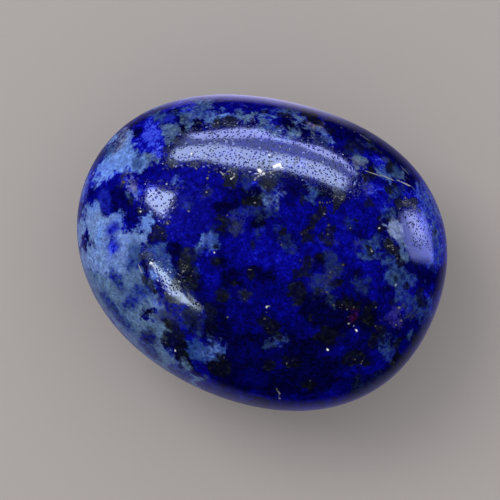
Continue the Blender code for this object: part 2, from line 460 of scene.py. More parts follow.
# Smaller patches of lighter and darker blue
BLUE_TONES = (
    # Upper edge and shoulder
    Tone(182, 107, 1.34, 0.45, 5, 0.72), Tone(138, 132, 0.45, 0.3, 60, 0.3),
    Tone(174, 113, 0.22, 0.22, 0, 0.15), Tone(182, 119, 0.22, 0.22, 0, 0.15),
    Tone(184, 130, 0.3, 0.37, 0, 0.2), Tone(197, 125, 0.3, 0.45, 0, 0.22),
    Tone(288, 124, 0.59, 0.3, -25, 0.22),
    # Left tongue of bright blue into the pale rim
    Tone(150, 205, 0.8, 0.8, 0, 0.5), Tone(86, 242, 0.45, 0.22, 70, 0.4),
    Tone(112, 246, 0.45, 0.26, 0, 0.74), Tone(111, 254, 0.22, 0.37, 0, 0.8),
    Tone(146, 265, 0.3, 0.3, 0, 0.26), Tone(147, 310, 0.59, 0.59, 0, 0.34),
    # Middle
    Tone(250, 184, 0.6, 0.15, 0, 0.7), Tone(262, 228, 0.37, 0.22, 0, 0.68),
    Tone(260, 221, 0.45, 0.37, 0, 0.18), Tone(325, 192, 0.59, 0.45, 0, 0.18),
    Tone(152, 253, 0.37, 0.3, 0, 0.75), Tone(175, 250, 0.45, 0.45, 0, 0.28),
    Tone(173, 268, 0.37, 0.3, 0, 0.45), Tone(210, 254, 0.3, 0.3, 0, 0.7),
    Tone(296, 255, 0.22, 0.12, 0, 0.7), Tone(251, 302, 0.12, 0.12, 0, 0.7),
    Tone(320, 259, 0.37, 0.37, 0, 0.16), Tone(355, 274, 0.3, 0.37, 0, 0.2),
    Tone(374, 294, 0.22, 0.3, 0, 0.66), Tone(413, 290, 0.37, 0.3, 0, 0.64),
    Tone(157, 301, 0.45, 0.3, 0, 0.72), Tone(190, 315, 0.4, 0.6, 0, 0.3),
    # Lower part
    Tone(212, 330, 0.37, 0.45, 0, 0.2), Tone(168, 326, 0.3, 0.37, 0, 0.16),
    Tone(189, 324, 0.37, 0.45, 0, 0.24), Tone(184, 352, 0.45, 1.04, 0, 0.2),
    Tone(186, 366, 0.37, 0.5, -50, 0.28), Tone(259, 379, 0.37, 0.37, 0, 0.48),
    Tone(244, 379, 0.37, 0.3, 0, 0.42), Tone(279, 343, 0.24, 0.12, 0, 0.74),
    Tone(282, 350, 0.22, 0.15, 0, 0.56), Tone(328, 354, 0.67, 0.24, 0, 0.46),
    Tone(340, 349, 0.3, 0.3, 0, 0.58), Tone(354, 335, 0.45, 0.37, 0, 0.56),
    Tone(375, 354, 0.3, 0.3, 0, 0.6), Tone(338, 373, 0.6, 0.28, 0, 0.46),
    Tone(371, 369, 0.6, 0.3, 20, 0.56), Tone(403, 346, 0.4, 0.4, 0, 0.5),
    Tone(380, 365, 0.59, 0.45, 20, 0.58),
)

# Smaller patches of the paler and greener minerals
MARKINGS = {
    Mineral.CALCITE: (
        # Upper left rim and shoulder
        Marking(130, 146, 0.45, 0.3), Marking(112, 140, 0.67, 0.19, 52, 0.85),
        Marking(104, 168, 0.74, 0.22, 65, 0.85), Marking(203, 101, 0.37, 0.22, 0, 0.7),
        Marking(225, 115, 0.74, 0.15, 0, 0.6), Marking(268, 116, 0.52, 0.19, 0, 0.6),
        Marking(326, 137, 0.37, 0.11, -40, 0.7),
        # Big pale patch on the left
        Marking(146, 223, 0.45, 0.37, 30, 0.85), Marking(120, 217, 0.22, 0.3, 0, 0.85),
        Marking(94, 207, 0.26, 0.3), Marking(99, 234, 0.45, 0.15, 80, 0.95),
        Marking(155, 278, 0.55, 0.55, 0, 0.7), Marking(175, 180, 0.37, 0.22, 10, 0.55),
        # Small pale patches further in
        Marking(206, 237, 0.33, 0.26, 60, 0.62), Marking(206, 243, 0.37, 0.3, 0, 0.6),
        Marking(198, 246, 0.22, 0.15, 0, 0.55),
        # Lower patches
        Marking(213, 348, 0.45, 0.35, 0, 0.52), Marking(208, 354, 0.59, 0.22, 0, 0.52),
        Marking(212, 341, 0.3, 0.22, 0, 0.3), Marking(278, 338, 0.37, 0.26, 0, 0.26),
    ),
    Mineral.SLATE: (
        Marking(108, 152, 0.45, 0.22, 20, 0.85), Marking(137, 163, 0.22, 0.3),
        Marking(157, 115, 0.45, 0.37), Marking(163, 115, 0.3, 0.37, 0, 0.75),
        Marking(185, 113, 0.52, 0.3, 0, 0.75), Marking(203, 106, 0.45, 0.37, 0, 0.75),
        Marking(200, 113, 0.59, 0.22, 0, 0.75), Marking(280, 112, 0.45, 0.22, -20, 0.7),
        Marking(268, 127, 0.52, 0.3, 0, 0.7), Marking(384, 170, 0.45, 0.22, -50, 0.85),
        Marking(392, 175, 0.52, 0.22, -10, 0.85), Marking(397, 170, 0.22, 0.45),
        Marking(135, 258, 0.3, 0.22, 0, 0.75),
        Marking(133, 264, 0.45, 0.3, 0, 0.7),
        Marking(387, 213, 0.37, 0.37, 0, 0.5), Marking(389, 214, 0.37, 0.3, 0, 0.5),
        Marking(404, 276, 0.45, 0.37, 0, 0.6), Marking(386, 260, 0.37, 0.37, 0, 0.55),
        Marking(375, 245, 0.37, 0.37, 0, 0.6), Marking(135, 250, 0.37, 0.45, 0, 0.85),
        Marking(109, 303, 0.55, 0.22, -58, 0.55), Marking(124, 322, 0.5, 0.2, -48, 0.5),
        Marking(131, 303, 0.5, 0.3, 40, 0.5), Marking(117, 279, 0.45, 0.2, -60, 0.55),
        Marking(141, 290, 0.4, 0.25, 0, 0.5), Marking(150, 352, 0.5, 0.22, -40, 0.5),
        Marking(176, 370, 0.45, 0.37, 0, 0.55), Marking(136, 192, 0.22, 0.22, 0, 0.9),
        Marking(128, 196, 0.3, 0.11, -60, 0.9), Marking(405, 295, 0.45, 0.37, 0, 0.6),
        Marking(382, 340, 0.3, 0.37, 0, 0.55), Marking(410, 335, 0.15, 0.45, 0, 0.6),
        Marking(198, 333, 0.22, 0.45, 0, 0.5), Marking(184, 376, 0.45, 0.3, 0, 0.5),
    ),
    Mineral.DIOPSIDE: (
        # Upper left
        Marking(316, 143, 0.37, 0.37, 0, 0.7),
        Marking(370, 143, 0.37, 0.26, -45, 0.75), Marking(354, 152, 0.45, 0.22, 0, 0.7),
        Marking(398, 195, 0.45, 0.22, 0, 0.6), Marking(408, 171, 0.45, 0.09, -50, 0.7),
        Marking(401, 167, 0.24, 0.09, 0, 0.7),
        # Left of the middle
        Marking(186, 203, 0.37, 0.37, 0, 0.6), Marking(212, 228, 0.22, 0.15, 0, 0.6),
        Marking(195, 270, 0.3, 0.59, 0, 0.65), Marking(200, 250, 0.45, 0.37, 0, 0.6),
        Marking(187, 293, 0.37, 0.3, 0, 0.6), Marking(183, 324, 0.37, 0.37, 0, 0.55),
        Marking(197, 325, 0.37, 0.45, 0, 0.55),
        # Middle
        Marking(281, 176, 0.37, 0.37, 0, 0.6), Marking(268, 193, 0.52, 0.3, 0, 0.6),
        Marking(257, 233, 0.3, 0.3, 0, 0.55), Marking(284, 236, 0.37, 0.37, 0, 0.55),
        Marking(367, 190, 0.22, 0.3, 0, 0.6), Marking(345, 224, 0.37, 0.3, 60, 0.6),
        Marking(420, 203, 0.37, 0.3, 0, 0.55),
        # Right of the middle
        Marking(327, 268, 0.3, 0.52, 0, 0.6), Marking(357, 284, 0.3, 0.45, 0, 0.55),
        Marking(365, 286, 0.37, 0.37, 0, 0.55), Marking(435, 263, 0.3, 0.37, 0, 0.55),
        Marking(436, 250, 0.22, 0.37, 0, 0.55), Marking(425, 327, 0.3, 0.45, 0, 0.55),
    ),
    Mineral.OLIVE: (
        Marking(98, 160, 0.89, 0.28, 60, 0.45), Marking(192, 140, 0.3, 0.15, 0, 0.7),
        Marking(287, 109, 0.6, 0.15, -5), Marking(272, 160, 0.3, 0.22), Marking(288, 162, 0.37, 0.3),
        Marking(388, 164, 0.4, 0.35, -60, 0.9), Marking(123, 182, 0.3, 0.3),
        Marking(207, 193, 0.3, 0.26, 0, 0.7), Marking(200, 196, 0.22, 0.15, 0, 0.7),
        Marking(233, 183, 0.45, 0.3, 0, 0.6), Marking(255, 176, 0.37, 0.37, 0, 0.95),
        Marking(271, 183, 0.3, 0.37, 0, 0.85), Marking(265, 188, 0.37, 0.22, 0, 0.85),
        Marking(238, 227, 0.3, 0.3), Marking(330, 242, 0.52, 0.19, 0, 0.6),
        Marking(358, 245, 0.2, 0.2, 0, 0.7), Marking(140, 256, 0.26, 0.22),
        Marking(187, 255, 0.37, 0.52, 0, 0.65), Marking(186, 266, 0.37, 0.37, 0, 0.9),
        Marking(168, 298, 0.52, 0.37), Marking(168, 316, 0.52, 0.3, 0, 0.85),
        Marking(172, 320, 0.45, 0.22, 0, 0.85), Marking(224.5, 295, 0.17, 0.17, 0, 0.9),
        Marking(308, 264, 0.22, 0.3, 0, 0.6), Marking(298, 302, 0.15, 0.15),
        Marking(244, 296, 0.3, 0.26, 0, 0.7), Marking(329, 277, 0.59, 0.26, 25, 0.75),
        Marking(327, 281, 0.2, 0.2), Marking(318, 291, 0.45, 0.37, 0, 0.65), Marking(391, 247, 0.52, 0.37),
        Marking(434, 243, 0.22, 0.45, 0, 0.6), Marking(400, 308, 0.26, 0.26, 0, 0.9),
        Marking(409, 316, 0.45, 0.3), Marking(148, 338, 0.3, 0.22, 0, 0.35),
        Marking(178, 336, 0.45, 0.3, 0, 0.5),
    ),
    Mineral.TAN: (
        Marking(134, 188, 0.22, 0.3), Marking(278, 166, 0.5, 0.26, 0, 0.95),
        Marking(357, 163, 0.37, 0.28, 0, 0.6), Marking(367, 191, 0.15, 0.22, 0, 0.6),
        Marking(260, 171, 0.26, 0.13, -20, 0.9),
    ),
    Mineral.ULTRAMARINE: (
        Marking(168, 119, 0.45, 0.37), Marking(152, 136, 0.5, 0.6, 0, 0.7),
        Marking(113, 229, 0.18, 0.12, 40, 0.7), Marking(113, 246, 0.28, 0.28, 0, 0.8),
        Marking(104, 200, 0.6, 0.75, 0, 0.6),
    ),
}

# Smaller dark inclusions
DARK_MARKINGS = (
    # Upper edge
    Marking(217, 122, 0.26, 0.26, 0, 0.95), Marking(230, 119, 0.37, 0.3, 0, 0.9),
    Marking(228, 124, 0.45, 0.22, 0, 0.85), Marking(177, 141, 0.45, 0.22, -30),
    Marking(167, 149, 0.3, 0.3, 0, 0.75), Marking(196, 165, 0.45, 0.3, 0, 0.85),
    Marking(174, 164, 0.52, 0.3, 0, 0.85), Marking(265, 112, 0.3, 0.11, 0, 0.85),
    Marking(285, 116, 0.6, 0.19, -15, 0.85), Marking(320, 124, 0.3, 0.22, 0, 0.85),
    Marking(278, 127, 0.22, 0.15), Marking(262, 164, 0.3, 0.22, 0, 0.85), Marking(270, 165, 0.15, 0.22),
    Marking(276, 154, 0.15, 0.11), Marking(297, 161, 0.3, 0.15, 60, 0.85),
    Marking(342, 122, 0.37, 0.22, 0, 0.75), Marking(329, 130, 0.37, 0.22, 0, 0.75),
    Marking(369, 141, 0.22, 0.15, 0, 0.85), Marking(374, 149, 0.22, 0.22),
    Marking(387, 167, 0.22, 0.22, 0, 0.85), Marking(373, 176, 0.22, 0.15),
    # Left
    Marking(131, 202, 0.22, 0.3, 0, 0.6), Marking(141, 211, 0.26, 0.26, 0, 0.8), Marking(168, 222, 0.15, 0.15, 0, 0.9),
    Marking(148, 255, 0.37, 0.22, 0, 0.7), Marking(148, 283, 0.82, 0.26, -45, 0.85),
    Marking(149, 313, 0.3, 0.22, 0, 0.55), Marking(152, 330, 0.3, 0.22, 0, 0.55),
    # Middle left
    Marking(207, 193, 0.2, 0.17, 0, 0.7), Marking(176, 285, 0.3, 0.45, 0, 0.85),
    Marking(214, 246, 0.22, 0.15, 0, 0.85), Marking(214, 260, 0.37, 0.3),
    Marking(193, 301, 0.52, 0.22, -40, 0.85), Marking(222, 296, 0.45, 0.37, 0, 0.9),
    # Middle
    Marking(265, 178, 0.37, 0.19, -20, 0.9), Marking(270, 175, 0.37, 0.22, 0, 0.7),
    Marking(283, 231, 0.22, 0.3, 0, 0.85), Marking(303, 200, 0.22, 0.3), Marking(252, 246, 0.19, 0.3),
    Marking(252, 275, 0.22, 0.37, 0, 0.75), Marking(244, 296, 0.37, 0.3, 0, 0.7),
    Marking(233, 284, 0.22, 0.22), Marking(263, 321, 0.37, 0.22, 0, 0.85),
    # Right
    Marking(330, 242, 0.45, 0.17, 0, 0.7), Marking(369, 177, 0.45, 0.26, 10, 0.9),
    Marking(370, 203, 0.37, 0.3), Marking(356, 220, 0.15, 0.11), Marking(379, 218, 0.19, 0.15),
    Marking(379, 228, 0.26, 0.22, 0, 0.9), Marking(388, 220, 0.15, 0.09), Marking(434, 233, 0.15, 0.22),
    Marking(320, 256, 0.22, 0.22), Marking(309, 265, 0.22, 0.45, 0, 0.85),
    Marking(318, 291, 0.3, 0.26, 0, 0.7), Marking(343, 265, 0.15, 0.15, 0, 0.85),
    Marking(371, 252, 0.26, 0.26, 0, 0.9), Marking(375, 307, 0.22, 0.22, 0, 0.85),
    Marking(368, 311, 0.3, 0.22, 0, 0.7), Marking(310, 317, 0.22, 0.22),
    Marking(393, 254, 0.37, 0.22, 0, 0.85), Marking(401, 261, 0.3, 0.3), Marking(397, 279, 0.15, 0.22),
    Marking(407, 287, 0.19, 0.19, 0, 0.85), Marking(420, 302, 0.22, 0.45), Marking(432, 298, 0.19, 0.37),
    Marking(391, 302, 0.22, 0.19), Marking(416, 338, 0.3, 0.45, 20, 0.75), Marking(398, 343, 0.3, 0.3),
    Marking(373, 340, 0.37, 0.52, 0, 0.75),
    # Bottom
    Marking(168, 325, 0.37, 0.3, 0, 0.75), Marking(175, 328, 0.37, 0.59, 0, 0.85),
    Marking(211, 346, 0.15, 0.15, 0, 0.7), Marking(219, 357, 0.22, 0.3, 0, 0.9),
    Marking(213, 362, 0.37, 0.3), Marking(268, 366, 0.45, 0.37, 0, 0.75), Marking(308, 385, 0.37, 0.37),
)

# Flecks of pyrite, and painted glints on the brightest of them and in cracks
FLECKS = (
    # Upper edge and highlight
    Fleck(174, 166, 0.08, 0.07, 0, 0.6), Fleck(217.5, 122.5, 0.09, 0.08, 0, 0.6),
    Fleck(204, 140, 0.06, 0.06, 0, 0.5), Fleck(201, 137, 0.06, 0.06, 0, 0.5),
    Fleck(196, 168, 0.06, 0.06, 0, 0.6), Fleck(197, 169.5, 0.05, 0.05, 0, 0.6),
    Fleck(188, 165, 0.06, 0.06, 0, 0.6), Fleck(192, 154, 0.08, 0.07, 0, 1),
    Fleck(206, 156, 0.06, 0.06, 0, 0.7), Fleck(264, 113, 0.06, 0.06, 0, 0.5),
    Fleck(307, 112, 0.06, 0.06, 0, 0.5), Fleck(275, 167, 0.15, 0.12, 10, 1),
    Fleck(279, 165, 0.16, 0.13, 0, 1), Fleck(282, 167.5, 0.1, 0.08, 0, 0.9),
    Fleck(281, 161, 0.09, 0.07, 0, 0.9), Fleck(270, 155, 0.08, 0.06, 0, 0.9),
    Fleck(281, 155, 0.08, 0.06, 0, 0.8), Fleck(301, 166, 0.08, 0.06, 0, 0.7),
    Fleck(308, 165, 0.08, 0.06, 0, 0.7), Fleck(342, 128.5, 0.06, 0.06, 0, 0.5),
    Fleck(354, 131, 0.06, 0.06, 0, 0.5),
    # Left
    Fleck(124, 182.5, 0.17, 0.14, 0, 0.45), Fleck(140.7, 212, 0.08, 0.08, 0, 0.9),
    Fleck(151, 233, 0.07, 0.07, 0, 0.6), Fleck(166.5, 221, 0.07, 0.07, 0, 0.5),
    Fleck(167.5, 223.5, 0.07, 0.06, 0, 0.6), Fleck(151, 262.5, 0.11, 0.08, 30, 0.9), Fleck(153.5, 265.5, 0.07, 0.06, 0, 0.8),
    Fleck(183, 264, 0.07, 0.06, 0, 0.5), Fleck(187, 267, 0.07, 0.06, 0, 0.5),
    Fleck(184, 271, 0.11, 0.08, 0, 0.6), Fleck(179.5, 275, 0.07, 0.06, 0, 0.5),
    Fleck(180, 314, 0.07, 0.06, 0, 0.5), Fleck(174.5, 350, 0.07, 0.11, 0, 0.9),
    # Gold specks in the dark cluster
    Fleck(207.5, 177.5, 0.1, 0.09, 0, 0.6), Fleck(209, 172, 0.06, 0.05, 0, 0.5),
    Fleck(222, 174, 0.19, 0.06, -50, 0.7), Fleck(226, 172, 0.07, 0.06, 0, 0.6),
    Fleck(230, 171, 0.07, 0.06, 0, 0.6), Fleck(231, 178, 0.08, 0.07, 0, 0.9),
    Fleck(233.5, 173.5, 0.08, 0.06, 30, 0.7), Fleck(235, 176.5, 0.07, 0.06, 0, 0.7),
    Fleck(206.4, 192.4, 0.08, 0.07, 0, 0.7), Fleck(189, 211, 0.11, 0.06, -30, 0.6),
    Fleck(227.5, 215, 0.06, 0.06, 0, 0.5),
    # Gold vein under the highlight
    Fleck(260, 171, 0.19, 0.12, -20, 1), Fleck(264, 174, 0.12, 0.1, -50, 0.9),
    Fleck(258.5, 176.5, 0.12, 0.08, 20, 0.8), Fleck(254.5, 179.5, 0.1, 0.07, 60, 0.7),
    # Middle
    Fleck(254.5, 202, 0.08, 0.07, 0, 0.6), Fleck(282, 245, 0.08, 0.07, 0, 0.5),
    Fleck(250, 270, 0.14, 0.06, 0, 0.5), Fleck(215.3, 252.3, 0.07, 0.07, 0, 0.9),
    Fleck(228, 317, 0.09, 0.09, 0, 0.5), Fleck(267.5, 307.5, 0.09, 0.09, 0, 0.9),
    Fleck(269, 305.2, 0.06, 0.06, 0, 0.5), Fleck(264.5, 318, 0.08, 0.07, 0, 0.5),
    # Right
    Fleck(335.5, 196, 0.08, 0.07, 0, 0.6), Fleck(342.5, 197, 0.08, 0.06, 0, 0.6),
    Fleck(342.5, 200, 0.08, 0.06, 0, 0.6), Fleck(319, 202, 0.08, 0.07, 0, 0.5),
    Fleck(327.5, 202.5, 0.08, 0.06, 0, 0.5), Fleck(333, 200.5, 0.07, 0.06, 0, 0.5),
    Fleck(325, 213.5, 0.09, 0.07, 0, 0.6), Fleck(329, 225, 0.09, 0.07, 0, 0.5),
    Fleck(328.5, 234.5, 0.08, 0.07, 0, 0.5), Fleck(350, 228.5, 0.08, 0.06, 0, 0.5),
    Fleck(378.5, 228, 0.09, 0.07, 20, 0.88), Fleck(405, 198, 0.09, 0.07, 0, 0.6),
    Fleck(406, 202.5, 0.08, 0.07, 0, 0.6), Fleck(402.5, 202, 0.07, 0.06, 0, 0.6),
    Fleck(409.5, 202, 0.07, 0.06, 0, 0.6), Fleck(415, 206, 0.08, 0.06, 0, 0.6),
    Fleck(414.5, 208.7, 0.08, 0.06, 0, 0.6), Fleck(398, 220, 0.09, 0.07, 0, 0.5),
    Fleck(331, 272.5, 0.09, 0.07, 0, 0.5), Fleck(327, 292, 0.09, 0.07, 0, 0.5),
    Fleck(334.5, 305, 0.09, 0.07, 0, 0.5), Fleck(344, 265, 0.09, 0.07, 0, 0.5),
    Fleck(371.3, 251.3, 0.09, 0.08, 0, 0.8), Fleck(376.5, 307.5, 0.08, 0.07, 0, 0.5),
    Fleck(346.5, 309.5, 0.08, 0.07, 0, 0.5), Fleck(349, 323, 0.1, 0.08, 0, 0.7),
    Fleck(356, 330, 0.12, 0.08, -45, 1), Fleck(387.5, 246, 0.08, 0.07, 0, 0.6),
    Fleck(392, 246, 0.07, 0.06, 0, 0.6), Fleck(393.5, 249, 0.07, 0.06, 0, 0.6),
    Fleck(397, 258.5, 0.08, 0.07, 0, 0.5), Fleck(396.5, 284.5, 0.15, 0.06, 60, 0.8),
    Fleck(398.5, 307.5, 0.12, 0.09, 0, 0.65), Fleck(401.5, 321, 0.1, 0.09, 0, 0.55),
    Fleck(396, 324.5, 0.07, 0.06, 0, 0.6), Fleck(440.5, 264.5, 0.09, 0.07, 0, 0.5),
    # Hairline scratches
    Fleck(373, 173, 0.8, 0.040, -17, 0.75), Fleck(388, 178, 0.8, 0.045, -20, 0.8),
    Fleck(405, 184.5, 1.0, 0.050, -22, 0.85), Fleck(364, 137, 0.6, 0.035, -35, 0.55),
    Fleck(405, 170, 0.5, 0.035, -45, 0.6), Fleck(429, 194, 0.4, 0.035, -45, 0.6),
    Fleck(140.5, 268.5, 0.45, 0.04, -65, 0.75),
    # Bottom
    Fleck(327.5, 349, 0.12, 0.08, -40, 1), Fleck(287, 364, 0.07, 0.1, 0, 0.5),
    Fleck(277, 389.5, 0.16, 0.06, -70, 0.5), Fleck(278.6, 393, 0.14, 0.07, -60, 0.7),
    Fleck(280, 398.2, 0.12, 0.07, -45, 0.7),
)


@dataclass(frozen=True)
class LatticeNoise:
    """Smooth random values in space, the same on every run.

    Args:
        seed: Chooses the random numbers.
        cells: How many cells it has each way before it repeats.
    """

    seed: int
    cells: int = 48

    def at(self, places: np.ndarray) -> np.ndarray:
        """The noise at each place, from about -1 to 1.

        Each whole-number corner of space has a random slope. A place takes the height of each
        of its cell's eight corner slopes, weighted by an eased share of how near that corner is.

        Args:
            places: Points, one per row, in cells.

        Returns:
            One value for each point.
        """
        slopes = np.random.default_rng(self.seed).normal(size=(self.cells, self.cells, self.cells, 3))
        cell = np.floor(places).astype(int)
        part = places - cell
        ease = part**3 * (part * (part * 6.0 - 15.0) + 10.0)
        total = np.zeros(len(places))
        for corner in itertools.product((0, 1), repeat=3):
            column, row, layer = ((cell + corner) % self.cells).T
            near = np.prod(np.where(np.array(corner) == 1, ease, 1.0 - ease), axis=1)
            total += near * ((part - corner) * slopes[column, row, layer]).sum(axis=1)
        return total

    def layered(self, places: np.ndarray, wavelength: float, layers: int = 3) -> np.ndarray:
        """The noise with finer and weaker copies of itself added.

        Args:
            places: Points, one per row, in metres.
            wavelength: The size of the coarsest cells, in metres.
            layers: How many copies, each half as coarse and half as strong as the last.

        Returns:
            One value for each point.
        """
        total = np.zeros(len(places))
        for layer in range(layers):
            shift = 17.3 * layer
            total += self.at(places / wavelength * 2**layer + shift) / 2**layer
        return total


@dataclass(frozen=True)
class StudioCamera:
    """The camera over the stone, where the photograph was taken from.

    Args:
        lens: Focal length, in millimetres.
        sensor: Width of the square frame on the sensor, in millimetres.
        elevation: How high it stands above the horizon, in degrees.
        azimuth: How far it stands round the stone, in degrees. At 0 it looks along +Y.
        distance: From the point that it is aimed at, in metres.
        aim: The point that it is aimed at, in metres.
        picture: Width and height of the picture, in pixels.
    """

    lens: float = 120.0
    sensor: float = 36.0
    elevation: float = 80.0
    azimuth: float = 20.46
    distance: float = 0.1243
    aim: tuple[float, float, float] = (-0.00057, -0.00026, 0.0075)
    picture: int = 500

    def axes(self) -> np.ndarray:
        """The directions to the picture's right, to its top and back to the camera, one per row."""
        turn = math.radians(self.azimuth)
        rise = math.radians(self.elevation)
        right = np.array([math.cos(turn), math.sin(turn), 0.0])
        back = np.array([math.sin(turn) * math.cos(rise), -math.cos(turn) * math.cos(rise), math.sin(rise)])
        return np.stack([right, np.cross(back, right), back])

    def place(self) -> np.ndarray:
        """Where the camera stands."""
        return np.array(self.aim) + self.distance * self.axes()[2]

    def seen_at(self, points: np.ndarray) -> tuple[np.ndarray, np.ndarray, np.ndarray]:
        """Where points come in the picture.

        Args:
            points: Points, one per row, in metres.

        Returns:
            Their columns and rows in pixels, and their distance along the view, in metres.
        """
        sideways, upward, back = ((points - self.place()) @ self.axes().T).T
        away = -back
        enlargement = self.lens / self.sensor * self.picture
        middle = self.picture / 2
        return middle + enlargement * sideways / away, middle - enlargement * upward / away, away

    def pixel(self) -> float:
        """The width of one pixel at the point that the camera is aimed at, in metres."""
        return self.distance * self.sensor / self.lens / self.picture

    def build(self) -> bpy.types.Object:
        """Adds the camera to the scene and makes it the one that renders."""
        data = bpy.data.cameras.new("studio_camera")
        data.lens = self.lens
        data.sensor_width = self.sensor
        data.clip_start = 0.005
        data.clip_end = 20.0
        camera = bpy.data.objects.new("studio_camera", data)
        bpy.context.scene.collection.objects.link(camera)
        stand = np.eye(4)
        stand[:3, :3] = self.axes().T
        stand[:3, 3] = self.place()
        camera.matrix_world = Matrix(stand.tolist())
        bpy.context.scene.camera = camera
        return camera


@dataclass(frozen=True)
class WornFlat:
    """A soft flat worn on the rounded stone.

    Args:
        azimuth: The way it faces round the stone, from +X towards +Y, in degrees.
        elevation: The way it faces above the level, in degrees.
        depth: How deep it cuts into the rounded body, in metres.
        softness: The distance over which it turns into the round, in metres.
    """

    azimuth: float
    elevation: float
    depth: float
    softness: float = 0.00045

    def normal(self) -> np.ndarray:
        """The direction that it faces."""
        turn = math.radians(self.azimuth)
        rise = math.radians(self.elevation)
        return np.array([math.cos(turn) * math.cos(rise), math.sin(turn) * math.cos(rise), math.sin(rise)])

    def wear(self, points: np.ndarray, reach: float) -> np.ndarray:
        """Presses all that stands past the flat's plane softly back to it.

        A point that is e past the plane moves back by s ln(1 + exp(e / s)), where s is the
        softness, so far inside nothing moves and far outside everything comes back to the plane.

        Args:
            points: Points, one per row, in metres.
            reach: How far the body reaches along the normal before this flat is worn, in metres.

        Returns:
            The worn points.
        """
        normal = self.normal()
        excess = (points @ normal - (reach - self.depth)) / self.softness
        return points - np.outer(self.softness * np.logaddexp(0.0, excess), normal)


@dataclass(frozen=True)
class TumbledStone:
    """The stone's shape: a full, egg-like ellipsoid with worn flats, as the CAD node has it.

    Args:
        length: Of the unworn body along X, in metres.
        width: Of the unworn body along Y, in metres.
        crown_height: From its widest level to its top, in metres.
        belly_depth: From its widest level to its bottom, in metres.
        fullness: The power of its section; 2 is an ellipse, and more fills out the shoulders.
        three_sided: Swell of the outline three times round, as a share, and its turn in degrees.
        four_sided: Swell of the outline four times round, as a share, and its turn in degrees.
        lean_along: How far it leans along X, as a share of the height.
        lean_across: How far it leans along Y, as a share of the height.
        worn_flats: The soft flats on its shoulders and keel.
        rest: The spot that it rests on.
        rest_slice: The slice that makes the rest spot true, in metres.
        divisions: Squares along each side of the cube that its directions come from.
        towards_crown: How far the directions are drawn upwards, for more squares on the crown.
    """

    length: float = 0.0282
    width: float = 0.0229
    crown_height: float = 0.0083
    belly_depth: float = 0.0084
    fullness: float = 2.2
    three_sided: tuple[float, float] = (-0.0206, -7.5)
    four_sided: tuple[float, float] = (-0.0143, 3.4)
    lean_along: float = 0.035
    lean_across: float = -0.03
    worn_flats: tuple[WornFlat, ...] = (
        WornFlat(170.0, 42.0, 0.00010),
        WornFlat(38.0, 40.0, 0.00012),
        WornFlat(-62.0, 48.0, 0.00008),
        WornFlat(205.0, -44.0, 0.00014),
        WornFlat(-18.0, -50.0, 0.00012),
        WornFlat(96.0, -46.0, 0.00010),
    )
    rest: WornFlat = WornFlat(0.0, -90.0, 0.00040, 0.00010)
    rest_slice: float = 0.00003
    divisions: int = 128
    towards_crown: float = 0.30

    def directions(self) -> tuple[np.ndarray, np.ndarray]:
        """The directions of the vertices from the middle, and the squares between them.

        Each face of a cube carries a grid whose lines are the tangents of equal angles. Its
        points are made unit directions, drawn upwards and made unit again, and the points that
        two faces share become one.

        Returns:
            Unit directions, one per row, and four vertex numbers for each square.
        """
        steps = np.tan(np.linspace(-math.pi / 4, math.pi / 4, self.divisions + 1))
        first, second = (grid.ravel() for grid in np.meshgrid(steps, steps, indexing="ij"))
        ones = np.ones_like(first)
        faces = [
            np.roll(np.stack([side * ones, first, side * second], axis=1), turn, axis=1)
            for turn in range(3)
            for side in (1.0, -1.0)
        ]
        corners = np.arange((self.divisions + 1) ** 2).reshape(self.divisions + 1, self.divisions + 1)
        near = corners[:-1, :-1].ravel()
        square = np.stack(
            [near, corners[1:, :-1].ravel(), corners[1:, 1:].ravel(), corners[:-1, 1:].ravel()], axis=1
        )
        squares = np.concatenate([square + number * corners.size for number in range(len(faces))])
        places = unit(np.concatenate(faces))
        _, chosen, welded = np.unique(
            np.round(places * 1e6).astype(np.int64), axis=0, return_index=True, return_inverse=True
        )
        drawn = places[chosen] + np.array([0.0, 0.0, self.towards_crown])
        return unit(drawn), welded.reshape(-1)[squares]

    def rounded(self, directions: np.ndarray) -> np.ndarray:
        """The unworn stone.

        Each direction is scaled until the power sum of its level part and its height is 1. The
        level part is then stretched to the length and width, and swollen by the cosines of three
        and four times its turn. The height is stretched to the crown or the belly, and leans
        the body along and across.

        Args:
            directions: Unit vectors, one per row.

        Returns:
            One point of the surface for each, in metres.
        """
        spread = np.hypot(directions[:, 0], directions[:, 1])
        size = (spread**self.fullness + np.abs(directions[:, 2]) ** self.fullness) ** (1 / self.fullness)
        x, y, z = (directions / size[:, None]).T
        plan = x + 1j * y
        swell = 1.0
        for sides, (share, turn) in ((3, self.three_sided), (4, self.four_sided)):
            swell = swell + share * (plan**sides * np.exp(-1j * sides * math.radians(turn))).real
        height = np.where(z > 0.0, self.crown_height, self.belly_depth) * z
        along = self.length / 2 * x * swell + self.lean_along * height
        across = self.width / 2 * y * swell + self.lean_across * height
        return np.stack([along, across, height], axis=1)

    @cached_property
    def reaches(self) -> tuple[float, ...]:
        """How far the body reaches along each flat's normal before that flat is worn."""
        points = self.rounded(self.directions()[0])
        found = []
        for flat in (*self.worn_flats, self.rest):
            found.append(float((points @ flat.normal()).max()))
            points = flat.wear(points, found[-1])
        return tuple(found)

    def worn(self, directions: np.ndarray) -> np.ndarray:
        """The stone with its flats, before it is set on the floor."""
        points = self.rounded(directions)
        for flat, reach in zip((*self.worn_flats, self.rest), self.reaches):
            points = flat.wear(points, reach)
        return points

    @cached_property
    def move(self) -> np.ndarray:
        """How far the worn stone moves to stand where its CAD node does."""
        points = self.worn(self.directions()[0])
        low, high = points.min(axis=0), points.max(axis=0)
        cad_low, cad_high = (np.array(corner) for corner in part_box(STONE_NODE))
        move = (cad_low + cad_high - low - high) / 2
        move[2] = cad_low[2] - (low[2] + self.rest_slice)
        return move

